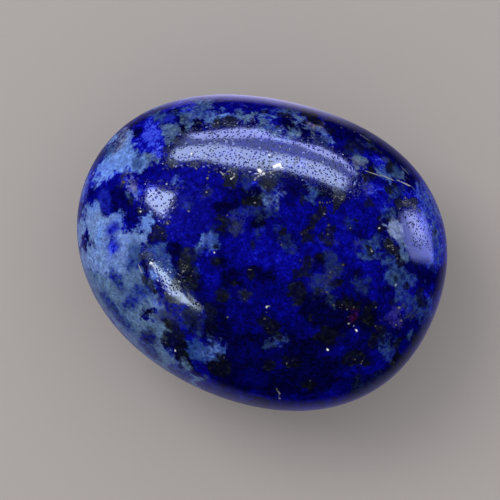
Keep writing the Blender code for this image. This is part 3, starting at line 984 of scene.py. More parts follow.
    def surface(self, directions: np.ndarray) -> np.ndarray:
        """The stone on the floor, with what would be below the floor pressed up to it.

        Args:
            directions: Unit vectors, one per row.

        Returns:
            One point of the surface for each, in metres.
        """
        points = self.worn(directions) + self.move
        points[:, 2] = np.maximum(points[:, 2], 0.0)
        return points

    def normals(self, directions: np.ndarray, step: float = 1e-4) -> np.ndarray:
        """The outward normals: the cross product of two small steps across the surface.

        Args:
            directions: Unit vectors, one per row.
            step: Half the length of each step, in radians.

        Returns:
            One unit normal for each.
        """
        along = [
            self.surface(unit(directions + step * way)) - self.surface(unit(directions - step * way))
            for way in across(directions)
        ]
        return unit(np.cross(along[0], along[1]))

    def under(self, camera: StudioCamera, columns: np.ndarray, rows: np.ndarray) -> np.ndarray:
        """The directions of the points that the camera sees at places in the picture.

        It starts from a round body of about the stone's size, and takes Newton's steps on how
        the place in the picture changes with the direction.

        Args:
            camera: The camera.
            columns: Places in the picture, in pixels from the left.
            rows: Places in the picture, in pixels from the top.

        Returns:
            One unit direction for each place.
        """
        middle = camera.picture / 2
        offsets = np.stack([columns - middle, middle - rows], axis=1) * camera.pixel() / (self.length / 2)
        depth = np.sqrt(np.clip(1.0 - (offsets**2).sum(axis=1), 0.05, 1.0))
        directions = unit(np.column_stack([offsets, depth]) @ camera.axes())
        wanted = np.stack([columns, rows], axis=1)
        step = 1e-4
        for _ in range(12):
            first, second = across(directions)
            here = np.stack(camera.seen_at(self.surface(directions))[:2], axis=1)
            moved = [self.surface(unit(directions + step * way)) for way in (first, second)]
            slopes = [(np.stack(camera.seen_at(points)[:2], axis=1) - here) / step for points in moved]
            turns = np.linalg.solve(np.stack(slopes, axis=2), (wanted - here)[..., None])[..., 0]
            turns = np.clip(turns, -0.2, 0.2)
            directions = unit(directions + turns[:, :1] * first + turns[:, 1:] * second)
        return directions


def across(directions: np.ndarray) -> tuple[np.ndarray, np.ndarray]:
    """Two unit vectors square to each direction and to each other.

    Args:
        directions: Unit vectors, one per row.

    Returns:
        The two sets, whose cross product is the direction itself.
    """
    upright = np.abs(directions[:, 2:]) > 0.9
    helper = np.where(upright, np.array([1.0, 0.0, 0.0]), np.array([0.0, 0.0, 1.0]))
    first = unit(np.cross(helper, directions))
    return first, np.cross(directions, first)


def depth_inside(columns: np.ndarray, rows: np.ndarray, corners: np.ndarray) -> np.ndarray:
    """How far places in the picture are inside a closed outline.

    The distance is to the nearest of its sides. A place is inside when a level line from it
    to the right crosses the sides an odd number of times.

    Args:
        columns: Places, in pixels from the left.
        rows: Places, in pixels from the top.
        corners: The outline's corners, in order round it.

    Returns:
        The distances in pixels, negative outside.
    """
    nearest = np.full(len(columns), np.inf)
    inside = np.zeros(len(columns), bool)
    for (left, top), (right, bottom) in zip(corners, np.roll(corners, -1, axis=0)):
        run, fall = right - left, bottom - top
        share = np.clip(((columns - left) * run + (rows - top) * fall) / (run**2 + fall**2), 0.0, 1.0)
        nearest = np.minimum(nearest, np.hypot(columns - left - share * run, rows - top - share * fall))
        if fall:
            crossed = (top > rows) != (bottom > rows)
            inside ^= crossed & (columns < left + (rows - top) / fall * run)
    return np.where(inside, nearest, -nearest)


@dataclass(frozen=True)
class Inclusion:
    """A patch set in the stone: an ellipsoid round a point of the surface.

    Args:
        middle: Its middle, in metres.
        shape: Three rows, each a direction divided by the patch's half size along it.
        size: The mean of its half length and half width, in metres.
        value: What it carries: a colour, a tone or a brightness.
        cover: How much of what lies under it the patch hides, from 0 to 1.
    """

    middle: np.ndarray
    shape: np.ndarray
    size: float
    value: np.ndarray | float
    cover: float = 1.0

    def near(self, points: np.ndarray, margin: float) -> np.ndarray:
        """The numbers of the points that lie within the patch's reach and a margin, in metres."""
        reach = 1.0 / np.linalg.norm(self.shape, axis=1).min() + margin
        return np.flatnonzero((np.abs(points - self.middle) < reach).all(axis=1))

    def offsets(self, points: np.ndarray) -> np.ndarray:
        """The points from the patch's middle, along its axes, in half sizes."""
        return (points - self.middle) @ self.shape.T

    def inside(self, points: np.ndarray) -> np.ndarray:
        """How far each point is inside the patch's edge, in metres; outside it is negative."""
        return (1.0 - np.linalg.norm(self.offsets(points), axis=1)) * self.size


@dataclass(frozen=True)
class Patch:
    """Which vertices a patch reaches, and what it does there.

    Args:
        which: The numbers of the vertices.
        inside: How far each is inside the patch's edge, in millimetres; outside it is negative.
        size: The patch's mean half size, in millimetres.
        value: What it carries: a colour or a tone.
        cover: How much of what lies under it the patch hides, from 0 to 1.
    """

    which: np.ndarray
    inside: np.ndarray
    size: float
    value: np.ndarray | float
    cover: float


@dataclass(frozen=True)
class Skin:
    """The stone's vertices, and where the photograph shows each.

    Args:
        stone: The stone's shape.
        camera: The camera.
        directions: The directions of the vertices.
        raggedness: The most that a patch's edge wanders at a vertex, in metres.
        past_edge: Vertices that face further away than this aren't on the unrolled picture.
    """

    stone: TumbledStone
    camera: StudioCamera
    directions: np.ndarray
    raggedness: float = 0.00045
    past_edge: float = -0.5

    @cached_property
    def points(self) -> np.ndarray:
        """The vertices, in metres."""
        return self.stone.surface(self.directions)

    @cached_property
    def normals(self) -> np.ndarray:
        """The outward normals."""
        return self.stone.normals(self.directions)

    @cached_property
    def facing(self) -> np.ndarray:
        """How far each normal leans to the camera: 1 faces it, and below 0 faces away."""
        return self.normals @ self.camera.axes()[2]

    @cached_property
    def wander(self) -> np.ndarray:
        """Smooth noise in three directions, by which the edges of patches wander."""
        return np.stack(
            [LatticeNoise(seed).layered(self.points, 0.9 * MILLIMETRE, 3) for seed in (1, 2, 3)], axis=1
        )

    @cached_property
    def seen(self) -> tuple[np.ndarray, np.ndarray]:
        """The columns and rows of the vertices in the picture."""
        return self.camera.seen_at(self.points)[:2]

    @cached_property
    def unrolled(self) -> tuple[np.ndarray, np.ndarray]:
        """Where each vertex comes in the picture when the picture goes on past the stone's edge.

        A vertex beyond the edge comes as far outside the outline as it would come inside. All
        are then moved by the wander.
        """
        columns, rows = self.seen
        middle = (columns.min() + columns.max()) / 2, (rows.min() + rows.max()) / 2
        turns = np.arctan2(rows - middle[1], columns - middle[0])
        radii = np.hypot(columns - middle[0], rows - middle[1])
        sectors = 360
        sector = ((turns / (2 * math.pi) % 1.0) * sectors).astype(int) % sectors
        outline = np.zeros(sectors)
        np.maximum.at(outline, sector, radii)
        middles = (np.arange(sectors) + 0.5) * 2 * math.pi / sectors
        limits = np.interp(turns, middles, outline, period=2 * math.pi)
        radii = np.where(self.facing < 0.0, 2.0 * limits - radii, radii)
        radii = np.where(self.facing < self.past_edge, 1e6, radii)
        moved = self.camera.seen_at(self.points + self.raggedness * self.wander)
        return (
            middle[0] + radii * np.cos(turns) + moved[0] - columns,
            middle[1] + radii * np.sin(turns) + moved[1] - rows,
        )

    def spread(self, inclusion: Inclusion, margin: float = 0.7 * MILLIMETRE) -> Patch:
        """The vertices that an inclusion reaches, with its edge made to wander."""
        which = inclusion.near(self.points, margin)
        moved = self.points[which] + self.wander[which] * min(self.raggedness, 0.55 * inclusion.size)
        inside = inclusion.inside(moved) / MILLIMETRE
        return Patch(which, inside, inclusion.size / MILLIMETRE, inclusion.value, inclusion.cover)

    def covered(self, zone: Zone, value: np.ndarray | float, margin: float = 0.7 * MILLIMETRE) -> Patch:
        """The vertices that a zone reaches, with its edge made to wander."""
        columns, rows = self.unrolled
        corners = np.array(zone.outline).reshape(-1, 2)
        low = corners.min(axis=0) - margin / self.camera.pixel()
        high = corners.max(axis=0) + margin / self.camera.pixel()
        level = (columns > low[0]) & (columns < high[0])
        which = np.flatnonzero(level & (rows > low[1]) & (rows < high[1]))
        pixel = self.camera.pixel() / MILLIMETRE
        inside = depth_inside(columns[which], rows[which], corners) * pixel
        size = 0.5 * math.sqrt(np.prod(corners.max(axis=0) - corners.min(axis=0))) * pixel
        return Patch(which, inside, size, value, zone.cover)


@dataclass(frozen=True)
class MineralMap:
    """Where each mineral is in the stone's skin.

    On the side that the photograph shows, the patches are where it shows them. On the others
    they are scattered in the same mix, more thickly round random places, and the pale ones
    mostly towards the end of the stone that is pale in the photograph.

    Args:
        depth_share: How deep a placed patch reaches along the view, in half sizes.
        seed: Chooses what is scattered.
        hidden_below: Surface whose normal leans this far from the view counts as unseen.
        pale_end: The unseen side left of this is pale, along X in metres.
    """

    depth_share: float = 2.5
    seed: int = 11
    hidden_below: float = 0.10
    pale_end: float = -0.004

    def placed(
        self, marks: Sequence[Marking | Tone | Fleck], value_of: Callable, skin: Skin
    ) -> list[Inclusion]:
        """Sets patches in the stone where the photograph shows them.

        Args:
            marks: Their places, sizes and turns.
            value_of: What each carries.
            skin: The vertices.

        Returns:
            The patches, each round the vertex that comes nearest its place in the picture.
        """
        shown = skin.facing > 0.0
        points, columns, rows = skin.points[shown], skin.seen[0][shown], skin.seen[1][shown]
        right, up, back = skin.camera.axes()
        made = []
        for mark in marks:
            middle = points[np.argmin((columns - mark.column) ** 2 + (rows - mark.row) ** 2)]
            turn = math.radians(mark.turn)
            long, broad = mark.long * MILLIMETRE, mark.broad * MILLIMETRE
            size = math.sqrt(long * broad)
            way = math.cos(turn) * right + math.sin(turn) * up
            shape = np.stack([way / long, np.cross(back, way) / broad, back / (self.depth_share * size)])
            made.append(Inclusion(middle, shape, size, value_of(mark), getattr(mark, "cover", 1.0)))
        return made

    def scattered(
        self,
        count: int,
        sizes: tuple[float, float],
        values: Sequence[np.ndarray | float],
        covers: tuple[float, float],
        skin: Skin,
        where: np.ndarray,
        seed: int,
        gathering: int = 40,
    ) -> list[Inclusion]:
        """Sets random patches in part of the stone's skin.

        Args:
            count: How many.
            sizes: The least and the most of a patch's half size, in millimetres.
            values: What a patch may carry, each as likely as the others.
            covers: The least and the most that a patch hides.
            skin: The vertices.
            where: Which vertices may be a patch's middle.
            seed: Chooses the patches.
            gathering: Round how many places they gather.

        Returns:
            The patches, flat in the surface.
        """
        dice = np.random.default_rng([self.seed, seed])
        points, normals = skin.points[where], skin.normals[where]
        gathers = points[dice.integers(len(points), size=gathering)]
        made = []
        for _ in range(count):
            aim = gathers[dice.integers(gathering)] + dice.normal(size=3) * 1.5 * MILLIMETRE
            nearest = np.argmin(((points - aim) ** 2).sum(axis=1))
            first, second = across(normals[nearest : nearest + 1])
            turn = dice.uniform(0.0, math.pi)
            long = sizes[0] * (sizes[1] / sizes[0]) ** dice.random() * MILLIMETRE
            broad = long * dice.uniform(0.4, 0.9)
            size = math.sqrt(long * broad)
            way = math.cos(turn) * first[0] + math.sin(turn) * second[0]
            shape = np.stack([way / long, np.cross(normals[nearest], way) / broad, normals[nearest] / size])
            value = values[dice.integers(len(values))]
            made.append(Inclusion(points[nearest], shape, size, value, dice.uniform(*covers)))
        return made

    def values(self, skin: Skin) -> dict[str, np.ndarray]:
        """Works out what every vertex carries.

        The tone is that of the last patch that covers it, over slow noise. The edge of a kind of
        mineral is the deepest that the point is inside any of its patches, and its colour is the
        mean of theirs, weighted by how deep the point is in each and how small each is. A
        fleck's place is the point's offset from the nearest one's middle, in its own half sizes.

        Args:
            skin: The vertices.

        Returns:
            The arrays by the name of the attribute that holds each.
        """
        hidden = skin.facing < self.hidden_below
        pale_edge, pale_colour, pale_cover = self.layer(self.pale_patches(skin, hidden), skin)
        for zone in PALE_HOLES:
            hole = skin.covered(zone, 0.0)
            pale_edge[hole.which] = np.minimum(pale_edge[hole.which], -hole.inside)

        dark = self.scattered(170, (0.15, 0.7), (0.0,), (0.7, 1.0), skin, hidden, 4)
        dark = [skin.spread(patch) for patch in dark + self.placed(DARK_MARKINGS, lambda mark: 0.0, skin)]
        dark += [skin.covered(zone, 0.0) for zone in DARK_ZONES]
        dark_edge, _, dark_cover = self.layer(dark, skin)

        place, light = self.flecks(skin, hidden)
        return {
            "blue_tone": self.tones(skin, hidden),
            "pale_edge": pale_edge,
            "pale_colour": pale_colour,
            "pale_cover": pale_cover,
            "dark_edge": dark_edge,
            "dark_cover": dark_cover,
            "fleck_place": place,
            "fleck_light": light,
            "worn_edge": self.layer([skin.covered(zone, 0.0) for zone in WORN_POLISH], skin)[0],
        }

    def tones(self, skin: Skin, hidden: np.ndarray) -> np.ndarray:
        """The blue's tone, from 0 for navy to 1 for the brightest ultramarine."""
        slow = LatticeNoise(4).layered(skin.points, 2.6 * MILLIMETRE, 3)
        tone = 0.48 + 0.14 * slow
        levels = (0.15, 0.28, 0.50, 0.62, 0.75)
        unseen = self.scattered(150, (0.3, 1.3), levels, (1.0, 1.0), skin, hidden, 1)
        patches = [skin.spread(patch) for patch in unseen]
        patches += [skin.covered(zone, level) for level, zones in BLUE_ZONES.items() for zone in zones]
        patches += [skin.spread(patch) for patch in self.placed(BLUE_TONES, lambda mark: mark.level, skin)]
        for patch in patches:
            share = smooth_step(-0.30, 0.25, patch.inside)
            aim = patch.value + 0.07 * slow[patch.which]
            tone[patch.which] += (aim - tone[patch.which]) * share
        return tone

    def pale_patches(self, skin: Skin, hidden: np.ndarray) -> list[Patch]:
        """The patches of the paler and greener minerals, with the painted glints and rim reflections among them."""
        colours = {kind: np.array(kind.value) for kind in Mineral}
        pale = [colours[kind] for kind in (Mineral.MIST, Mineral.HAZE, Mineral.CALCITE, Mineral.SLATE)]
        green = [colours[kind] for kind in (Mineral.SLATE, Mineral.DIOPSIDE, Mineral.DIOPSIDE, Mineral.OLIVE)]
        end = hidden & (skin.points[:, 0] < self.pale_end)
        inclusions = self.scattered(150, (0.4, 1.7), pale, (0.7, 0.95), skin, end, 2, 30)
        inclusions += self.scattered(190, (0.2, 0.9), green, (0.4, 0.8), skin, hidden, 3)
        for kind, marks in MARKINGS.items():
            inclusions += self.placed(marks, lambda mark, kind=kind: colours[kind], skin)
        patches = [skin.spread(patch) for patch in inclusions]
        for kind, zones in MINERAL_ZONES.items():
            patches += [skin.covered(zone, colours[kind]) for zone in zones]
        return patches

    def flecks(self, skin: Skin, hidden: np.ndarray) -> tuple[np.ndarray, np.ndarray]:
        """Each vertex's offset from the nearest fleck, which stays exact between vertices.

        Args:
            skin: The vertices.
            hidden: Which of them the photograph doesn't show.

        Returns:
            The offsets in the fleck's own half sizes, and how bright it is.
        """
        place = np.full((len(skin.points), 3), 9.0)
        light = np.zeros(len(skin.points))
        nearest = np.full(len(skin.points), np.inf)
        flecks = self.scattered(140, (0.05, 0.12), (0.5, 0.7, 0.9), (1.0, 1.0), skin, hidden, 5)
        for fleck in flecks + self.placed(FLECKS, lambda mark: mark.light, skin):
            which = fleck.near(skin.points, 0.35 * MILLIMETRE)
            away = np.linalg.norm(skin.points[which] - fleck.middle, axis=1)
            closer = which[away < nearest[which]]
            nearest[closer] = away[away < nearest[which]]
            place[closer] = fleck.offsets(skin.points[closer])
            light[closer] = fleck.value
        return place, light

    @staticmethod
    def layer(patches: Sequence[Patch], skin: Skin) -> tuple[np.ndarray, np.ndarray, np.ndarray]:
        """Joins the patches of one kind.

        Args:
            patches: The patches.
            skin: The vertices.

        Returns:
            How far each vertex is inside the nearest patch's edge, in millimetres, the colour
            there, and how much of what lies under it the patch hides.
        """
        count = len(skin.points)
        edge = np.full(count, -1.0)
        weight = np.full(count, 1e-6)
        colour = np.zeros((count, 3))
        cover = np.zeros(count)
        for patch in patches:
            edge[patch.which] = np.maximum(edge[patch.which], patch.inside)
            own = np.exp(9.0 * np.minimum(patch.inside, 0.30)) * (0.4 / patch.size) ** 2
            weight[patch.which] += own
            colour[patch.which] += own[:, None] * patch.value
            cover[patch.which] += own * patch.cover
        return edge, colour / weight[:, None], cover / weight


class NodeBench:
    """Adds a material's nodes and joins them, one call for each."""

    def __init__(self, name: str) -> None:
        """Starts a material with no nodes.

        Args:
            name: The material's name.
        """
        self.material = bpy.data.materials.new(name)
        self.material.use_nodes = True
        self.tree = self.material.node_tree
        self.tree.nodes.clear()

    def add(self, kind: str, inputs: dict, **settings: object) -> bpy.types.Node:
        """Adds a node.

        Args:
            kind: Blender's name for the node.
            inputs: A number, a colour or another node's socket for each input to set.
            settings: The node's own settings.

        Returns:
            The node.
        """
        node = self.tree.nodes.new(kind)
        for name, value in settings.items():
            setattr(node, name, value)
        for name, value in inputs.items():
            if isinstance(value, bpy.types.NodeSocket):
                self.tree.links.new(value, node.inputs[name])
            else:
                node.inputs[name].default_value = value
        return node

    def held(self, attribute: str, socket: str = "Fac") -> bpy.types.NodeSocket:
        """What the vertices hold under a name."""
        return self.add("ShaderNodeAttribute", {}, attribute_name=attribute).outputs[socket]

    def sum(self, operation: str, first: object, second: object) -> bpy.types.NodeSocket:
        """One step of arithmetic on two numbers."""
        return self.add("ShaderNodeMath", {0: first, 1: second}, operation=operation).outputs[0]

    def vector(self, operation: str, inputs: dict) -> bpy.types.Node:
        """One step of arithmetic on vectors."""
        return self.add("ShaderNodeVectorMath", inputs, operation=operation)

    def channel(self, colour: object, which: int) -> bpy.types.NodeSocket:
        """The red (0), green (1) or blue (2) of a colour."""
        return self.add("ShaderNodeSeparateColor", {0: colour}).outputs[which]

    def step(
        self, value: object, low: float, high: float, start: float = 0.0, end: float = 1.0
    ) -> bpy.types.NodeSocket:
        """A gentle step from start to end while a value goes from low to high."""
        inputs = {"Value": value, "From Min": low, "From Max": high, "To Min": start, "To Max": end}
        return self.add("ShaderNodeMapRange", inputs, interpolation_type="SMOOTHSTEP").outputs[0]

    def noise(self, wavelength: float, detail: float, shift: float = 0.0) -> bpy.types.NodeSocket:
        """Noise in the stone's own place, from 0 to 1.

        Args:
            wavelength: The size of its coarsest waves, in metres.
            detail: How many finer layers it has.
            shift: Moves it, so that two noises differ, in metres.

        Returns:
            The socket that gives it.
        """
        inputs = {"Vector": self.place(shift), "Scale": 1.0 / wavelength}
        inputs |= {"Detail": detail, "Roughness": 0.6}
        return self.add("ShaderNodeTexNoise", inputs).outputs["Fac"]

    def place(self, shift: float = 0.0) -> bpy.types.NodeSocket:
        """The point being shaded, in the stone's own place, moved by a shift in metres."""
        spot = self.add("ShaderNodeTexCoord", {}).outputs["Object"]
        return self.vector("ADD", {0: spot, 1: (shift, shift, shift)}).outputs[0]

    def cells(self, width: float, shift: float = 0.0) -> bpy.types.Node:
        """Random cells of about a width in metres, with each point's distance from its middle."""
        return self.add("ShaderNodeTexVoronoi", {"Vector": self.place(shift), "Scale": 1.0 / width})

    def pinholes(self, width: float, shift: float, share_whole: float, rim: float) -> bpy.types.NodeSocket:
        """A height that falls from 1 to 0 in the middles of some random cells.

        Args:
            width: Width of the cells, in metres.
            shift: Moves them, in metres.
            share_whole: How many of the cells have no pinhole.
            rim: How far a pinhole reaches, as a share of its cell's width.

        Returns:
            The socket that gives the height.
        """
        cells = self.cells(width, shift)
        kind = self.channel(cells.outputs["Color"], 1)
        bowl = self.step(cells.outputs["Distance"], 0.25 * rim, rim)
        return self.sum("MAXIMUM", bowl, self.step(kind, share_whole, share_whole - 0.02))

    def bump(self, height: object, depth: float, normal: object = None) -> bpy.types.NodeSocket:
        """The normal bent by a height from 0 to 1 over a depth in metres, on top of another bend."""
        inputs = {"Height": height, "Distance": depth, "Strength": 1.0}
        if normal is not None:
            inputs["Normal"] = normal
        return self.add("ShaderNodeBump", inputs).outputs[0]

    def mix(self, share: object, under: object, over: object, blend: str = "MIX") -> bpy.types.NodeSocket:
        """One colour laid over another, by a share."""
        inputs = {0: share, 6: under, 7: over}
        return self.add("ShaderNodeMix", inputs, data_type="RGBA", blend_type=blend).outputs[2]

    def ramp(self, value: object, stops: Sequence[tuple[float, tuple]]) -> bpy.types.NodeSocket:
        """The colour for a value, along a line of colours.

        Args:
            value: The socket to read.
            stops: Each value with a colour, from the lowest on.

        Returns:
            The socket that gives the colour.
        """
        node = self.add("ShaderNodeValToRGB", {0: value})
        bar = node.color_ramp.elements
        while len(bar) < len(stops):
            bar.new(1.0)
        for stop, (place, colour) in zip(bar, stops):
            stop.position = place
            stop.color = (*colour, 1.0)
        return node.outputs[0]


@dataclass(frozen=True)
class PolishedLapis:
    """The finish of the stone: grained blue with its other minerals, under a polish.

    Args:
        grain: Width of the blue's grains, in metres.
        grit: Width of its finest grains, in metres.
        pit_spacing: How far apart the polish's pinholes are, in metres.
        pit_depth: How deep a pinhole is, in metres.
        prick_spacing: Width of the fine unevenness between them, in metres.
        prick_depth: Height of that, in metres.
        ripple_spacing: Width of the slow ripples that hand polishing leaves, in metres.
        ripple_depth: Height of those, in metres.
        scuff_spacing: How far apart the pricks that the polish left dull are, in metres.
        scuff: Roughness of those.
        polish: Roughness of the polished blue.
        dull: Roughness of the dark inclusions, which take less polish.
    """

    grain: float = 0.00040
    grit: float = 0.00014
    pit_spacing: float = 0.00036
    pit_depth: float = 0.000009
    prick_spacing: float = 0.00018
    prick_depth: float = 0.0000022
    ripple_spacing: float = 0.0008
    ripple_depth: float = 0.0000025
    scuff_spacing: float = 0.00019
    scuff: float = 0.90
    polish: float = 0.08
    dull: float = 0.17

    def build(self) -> bpy.types.Material:
        """Makes the material."""
        bench = NodeBench("polished_lapis")
        grain = bench.noise(self.grain, 3.0)
        grits = bench.cells(self.grit).outputs["Color"]
        grit = bench.channel(grits, 0)
        ragged = bench.noise(0.00055, 5.0, 0.05)
        fine = bench.noise(0.00016, 2.0, 0.09)
        coarse = bench.step(ragged, 0.3, 0.7, -0.24, 0.24)
        wander = bench.sum("ADD", coarse, bench.step(fine, 0.3, 0.7, -0.12, 0.12))

        # Blue, from navy to ultramarine
        tone = bench.sum("ADD", bench.held("blue_tone"), bench.step(grain, 0.3, 0.7, -0.10, 0.10))
        tone = bench.sum("ADD", tone, bench.step(fine, 0.3, 0.7, -0.07, 0.07))
        tone = bench.sum("ADD", tone, bench.sum("MULTIPLY", bench.sum("SUBTRACT", grit, 0.5), 0.17))
        bright = bench.step(bench.held("blue_tone"), 0.66, 0.76, 0.0, 0.26)
        tone = bench.sum("ADD", tone, bench.sum("MULTIPLY", bench.step(bench.channel(grits, 1), 0.80, 1.0), bright))
        halo = bench.step(bench.held("pale_edge"), -0.35, 0.10, 0.0, 0.12)
        tone = bench.sum("ADD", tone, bench.sum("MULTIPLY", halo, bench.held("pale_cover")))
        blue = bench.ramp(
            tone,
            (
                (0.00, (0.0006, 0.0006, 0.005)),
                (0.25, (0.0006, 0.0006, 0.026)),
                (0.45, (0.0007, 0.0007, 0.080)),
                (0.62, (0.0012, 0.0012, 0.180)),
                (0.78, (0.0030, 0.0034, 0.320)),
                (0.90, (0.0130, 0.0200, 0.530)),
                (1.00, (0.0480, 0.0880, 0.740)),
            ),
        )

        # Paler and greener minerals, with grains of blue in them, and the painted glints and rim reflections
        edge = bench.sum("ADD", bench.held("pale_edge"), wander)
        mottle = bench.noise(0.00034, 4.0, 0.13)
        cover = bench.sum("MULTIPLY", bench.step(edge, -0.20, 0.26), bench.held("pale_cover"))
        least = bench.step(bench.held("pale_cover"), 0.55, 0.85, 0.22, 0.72)
        solid = bench.step(mottle, 0.36, 0.60)
        cover = bench.sum("MULTIPLY", cover, bench.sum("MAXIMUM", solid, least))
        cover = bench.sum("MULTIPLY", cover, bench.step(grit, 0.0, 0.4, 0.75, 1.0))
        shade = bench.step(grain, 0.3, 0.7, 0.82, 1.14)
        shade = bench.sum("ADD", shade, bench.step(bench.channel(grits, 2), 0.0, 1.0, -0.16, 0.20))
        pale = bench.vector("SCALE", {0: bench.held("pale_colour", "Vector"), "Scale": shade}).outputs[0]
        colour = bench.mix(cover, blue, pale)

        # Dark inclusions, and painted shade along the bottom rim
        turned = bench.sum("MULTIPLY", wander, -0.35)
        dark_edge = bench.sum("ADD", bench.held("dark_edge"), turned)
        dark_cover = bench.sum("MULTIPLY", bench.step(dark_edge, -0.14, 0.08), bench.held("dark_cover"))
        dark_cover = bench.sum("MULTIPLY", dark_cover, bench.step(grit, 0.0, 0.3, 0.70, 1.0))
        dark = bench.ramp(
            mottle,
            (
                (0.42, (0.0015, 0.0015, 0.004)),
                (0.58, (0.0040, 0.0060, 0.007)),
                (0.68, (0.0150, 0.0200, 0.010)),
            ),
        )
        colour = bench.mix(dark_cover, colour, dark)

        # Gold dust in the dark inclusions, and the placed flecks, the brightest of them painted white as glints
        dust = bench.cells(0.00027, 0.03)
        dusty = bench.step(bench.channel(dust.outputs["Color"], 0), 0.92, 0.97)
        dusty = bench.sum("MULTIPLY", bench.step(dust.outputs["Distance"], 0.30, 0.14), dusty)
        dusty = bench.sum("MULTIPLY", dusty, dark_cover)
        colour = bench.mix(dusty, colour, (0.16, 0.14, 0.08, 1.0))
        reach = bench.vector("LENGTH", {0: bench.held("fleck_place", "Vector")}).outputs[1]
        fleck = bench.step(bench.sum("ADD", reach, bench.step(fine, 0.2, 0.8, -0.35, 0.35)), 1.15, 0.50)
        pyrite_and_glint = bench.ramp(
            bench.held("fleck_light"),
            (
                (0.0, (0.02, 0.02, 0.02)),
                (0.5, (0.08, 0.08, 0.07)),
                (0.8, (0.27, 0.28, 0.31)),
                (1.0, (0.84, 0.84, 0.84)),
            ),
        )
        colour = bench.mix(fleck, colour, pyrite_and_glint)

        # The polish, with its pinholes
        unworn = bench.step(bench.held("worn_edge"), 0.1, -0.3)
        pits = bench.sum("MAXIMUM", bench.pinholes(self.pit_spacing, 0.07, 0.45, 0.38), unworn)
        normal = bench.bump(pits, self.pit_depth)
        normal = bench.bump(bench.noise(self.prick_spacing, 3.0, 0.02), self.prick_depth, normal)
        normal = bench.bump(bench.noise(self.ripple_spacing, 1.0, 0.02), self.ripple_depth, normal)
        whole = bench.sum("MAXIMUM", bench.pinholes(self.scuff_spacing, 0.05, 0.10, 0.55), unworn)
        roughness = bench.step(dark_cover, 0.0, 1.0, self.polish, self.dull)
        roughness = bench.step(whole, 0.35, 0.65, self.scuff, roughness)
        shader = bench.add(
            "ShaderNodeBsdfPrincipled",
            {"Base Color": colour, "Roughness": roughness, "Normal": normal, "IOR": 1.5},
        )
        bench.add("ShaderNodeOutputMaterial", {"Surface": shader.outputs[0]})
        return bench.material


@dataclass(frozen=True)
class StonePiece:
    """The stone that shows: its surface with fine relief, its minerals and its polish.

    Args:
        stone: The shape.
        minerals: The map of its minerals.
        finish: The polish.
        wave: Height of the slow waves that hand polishing leaves, in metres.
        dip: How far the dark inclusions lie below the blue, in metres.
    """

    stone: TumbledStone = TumbledStone()
    minerals: MineralMap = MineralMap()
    finish: PolishedLapis = PolishedLapis()
    wave: float = 0.0000030
    dip: float = 0.0000025

    def relief(self, points: np.ndarray, dark_edge: np.ndarray) -> np.ndarray:
        """How far each point stands out from the smooth stone.

        Noise makes slow waves and finer ones, and each dark inclusion lies a little low, with a
        soft edge. All of it fades out towards the floor.

        Args:
            points: The vertices.
            dark_edge: How far each is inside a dark inclusion, in millimetres.

        Returns:
            The heights, in metres.
        """
        waves = self.wave * LatticeNoise(21).layered(points, 1.8 * MILLIMETRE, 2)
        dips = self.dip * smooth_step(-0.08, 0.14, dark_edge)
        return (waves - dips) * smooth_step(0.0002, 0.0010, points[:, 2])

    def build(self, camera: StudioCamera) -> bpy.types.Object:
        """Builds the stone and puts its minerals in its vertices.

        Args:
            camera: The camera, which the photograph's places go through.

        Returns:
            The stone's object.
        """
        directions, squares = self.stone.directions()
        skin = Skin(self.stone, camera, directions)
        held = self.minerals.values(skin)
        points = skin.points + skin.normals * self.relief(skin.points, held["dark_edge"])[:, None]
        points[:, 2] = np.maximum(points[:, 2], 0.0)
        mesh = new_mesh("lapis_stone", points, squares)
        for name, values in held.items():
            hold(mesh, name, values)
        mesh.materials.append(self.finish.build())
        piece = bpy.data.objects.new("lapis_stone", mesh)
        bpy.context.scene.collection.objects.link(piece)
        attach(piece, next(iter(frame["bodies"])))
        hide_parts(STONE_NODE)
        return piece


def new_mesh(name: str, points: np.ndarray, squares: np.ndarray) -> bpy.types.Mesh:
    """A smooth mesh of four-sided faces.

    Args:
        name: Its name.
        points: Its vertices, one per row, in metres.
        squares: Four vertex numbers for each face.

    Returns:
        The mesh.
    """
    mesh = bpy.data.meshes.new(name)
    mesh.from_pydata(points, [], squares)
    mesh.shade_smooth()
    mesh.update()
    return mesh


def hold(mesh: bpy.types.Mesh, name: str, values: np.ndarray) -> None:
    """Puts a number or a vector at every vertex.

    Args:
        mesh: The mesh.
        name: The attribute's name.
        values: One number or three for each vertex.
    """
    if values.ndim == 1:
        mesh.attributes.new(name, "FLOAT", "POINT").data.foreach_set("value", values.astype(np.float32))
    else:
        data = mesh.attributes.new(name, "FLOAT_VECTOR", "POINT").data
        data.foreach_set("vector", values.astype(np.float32).ravel())


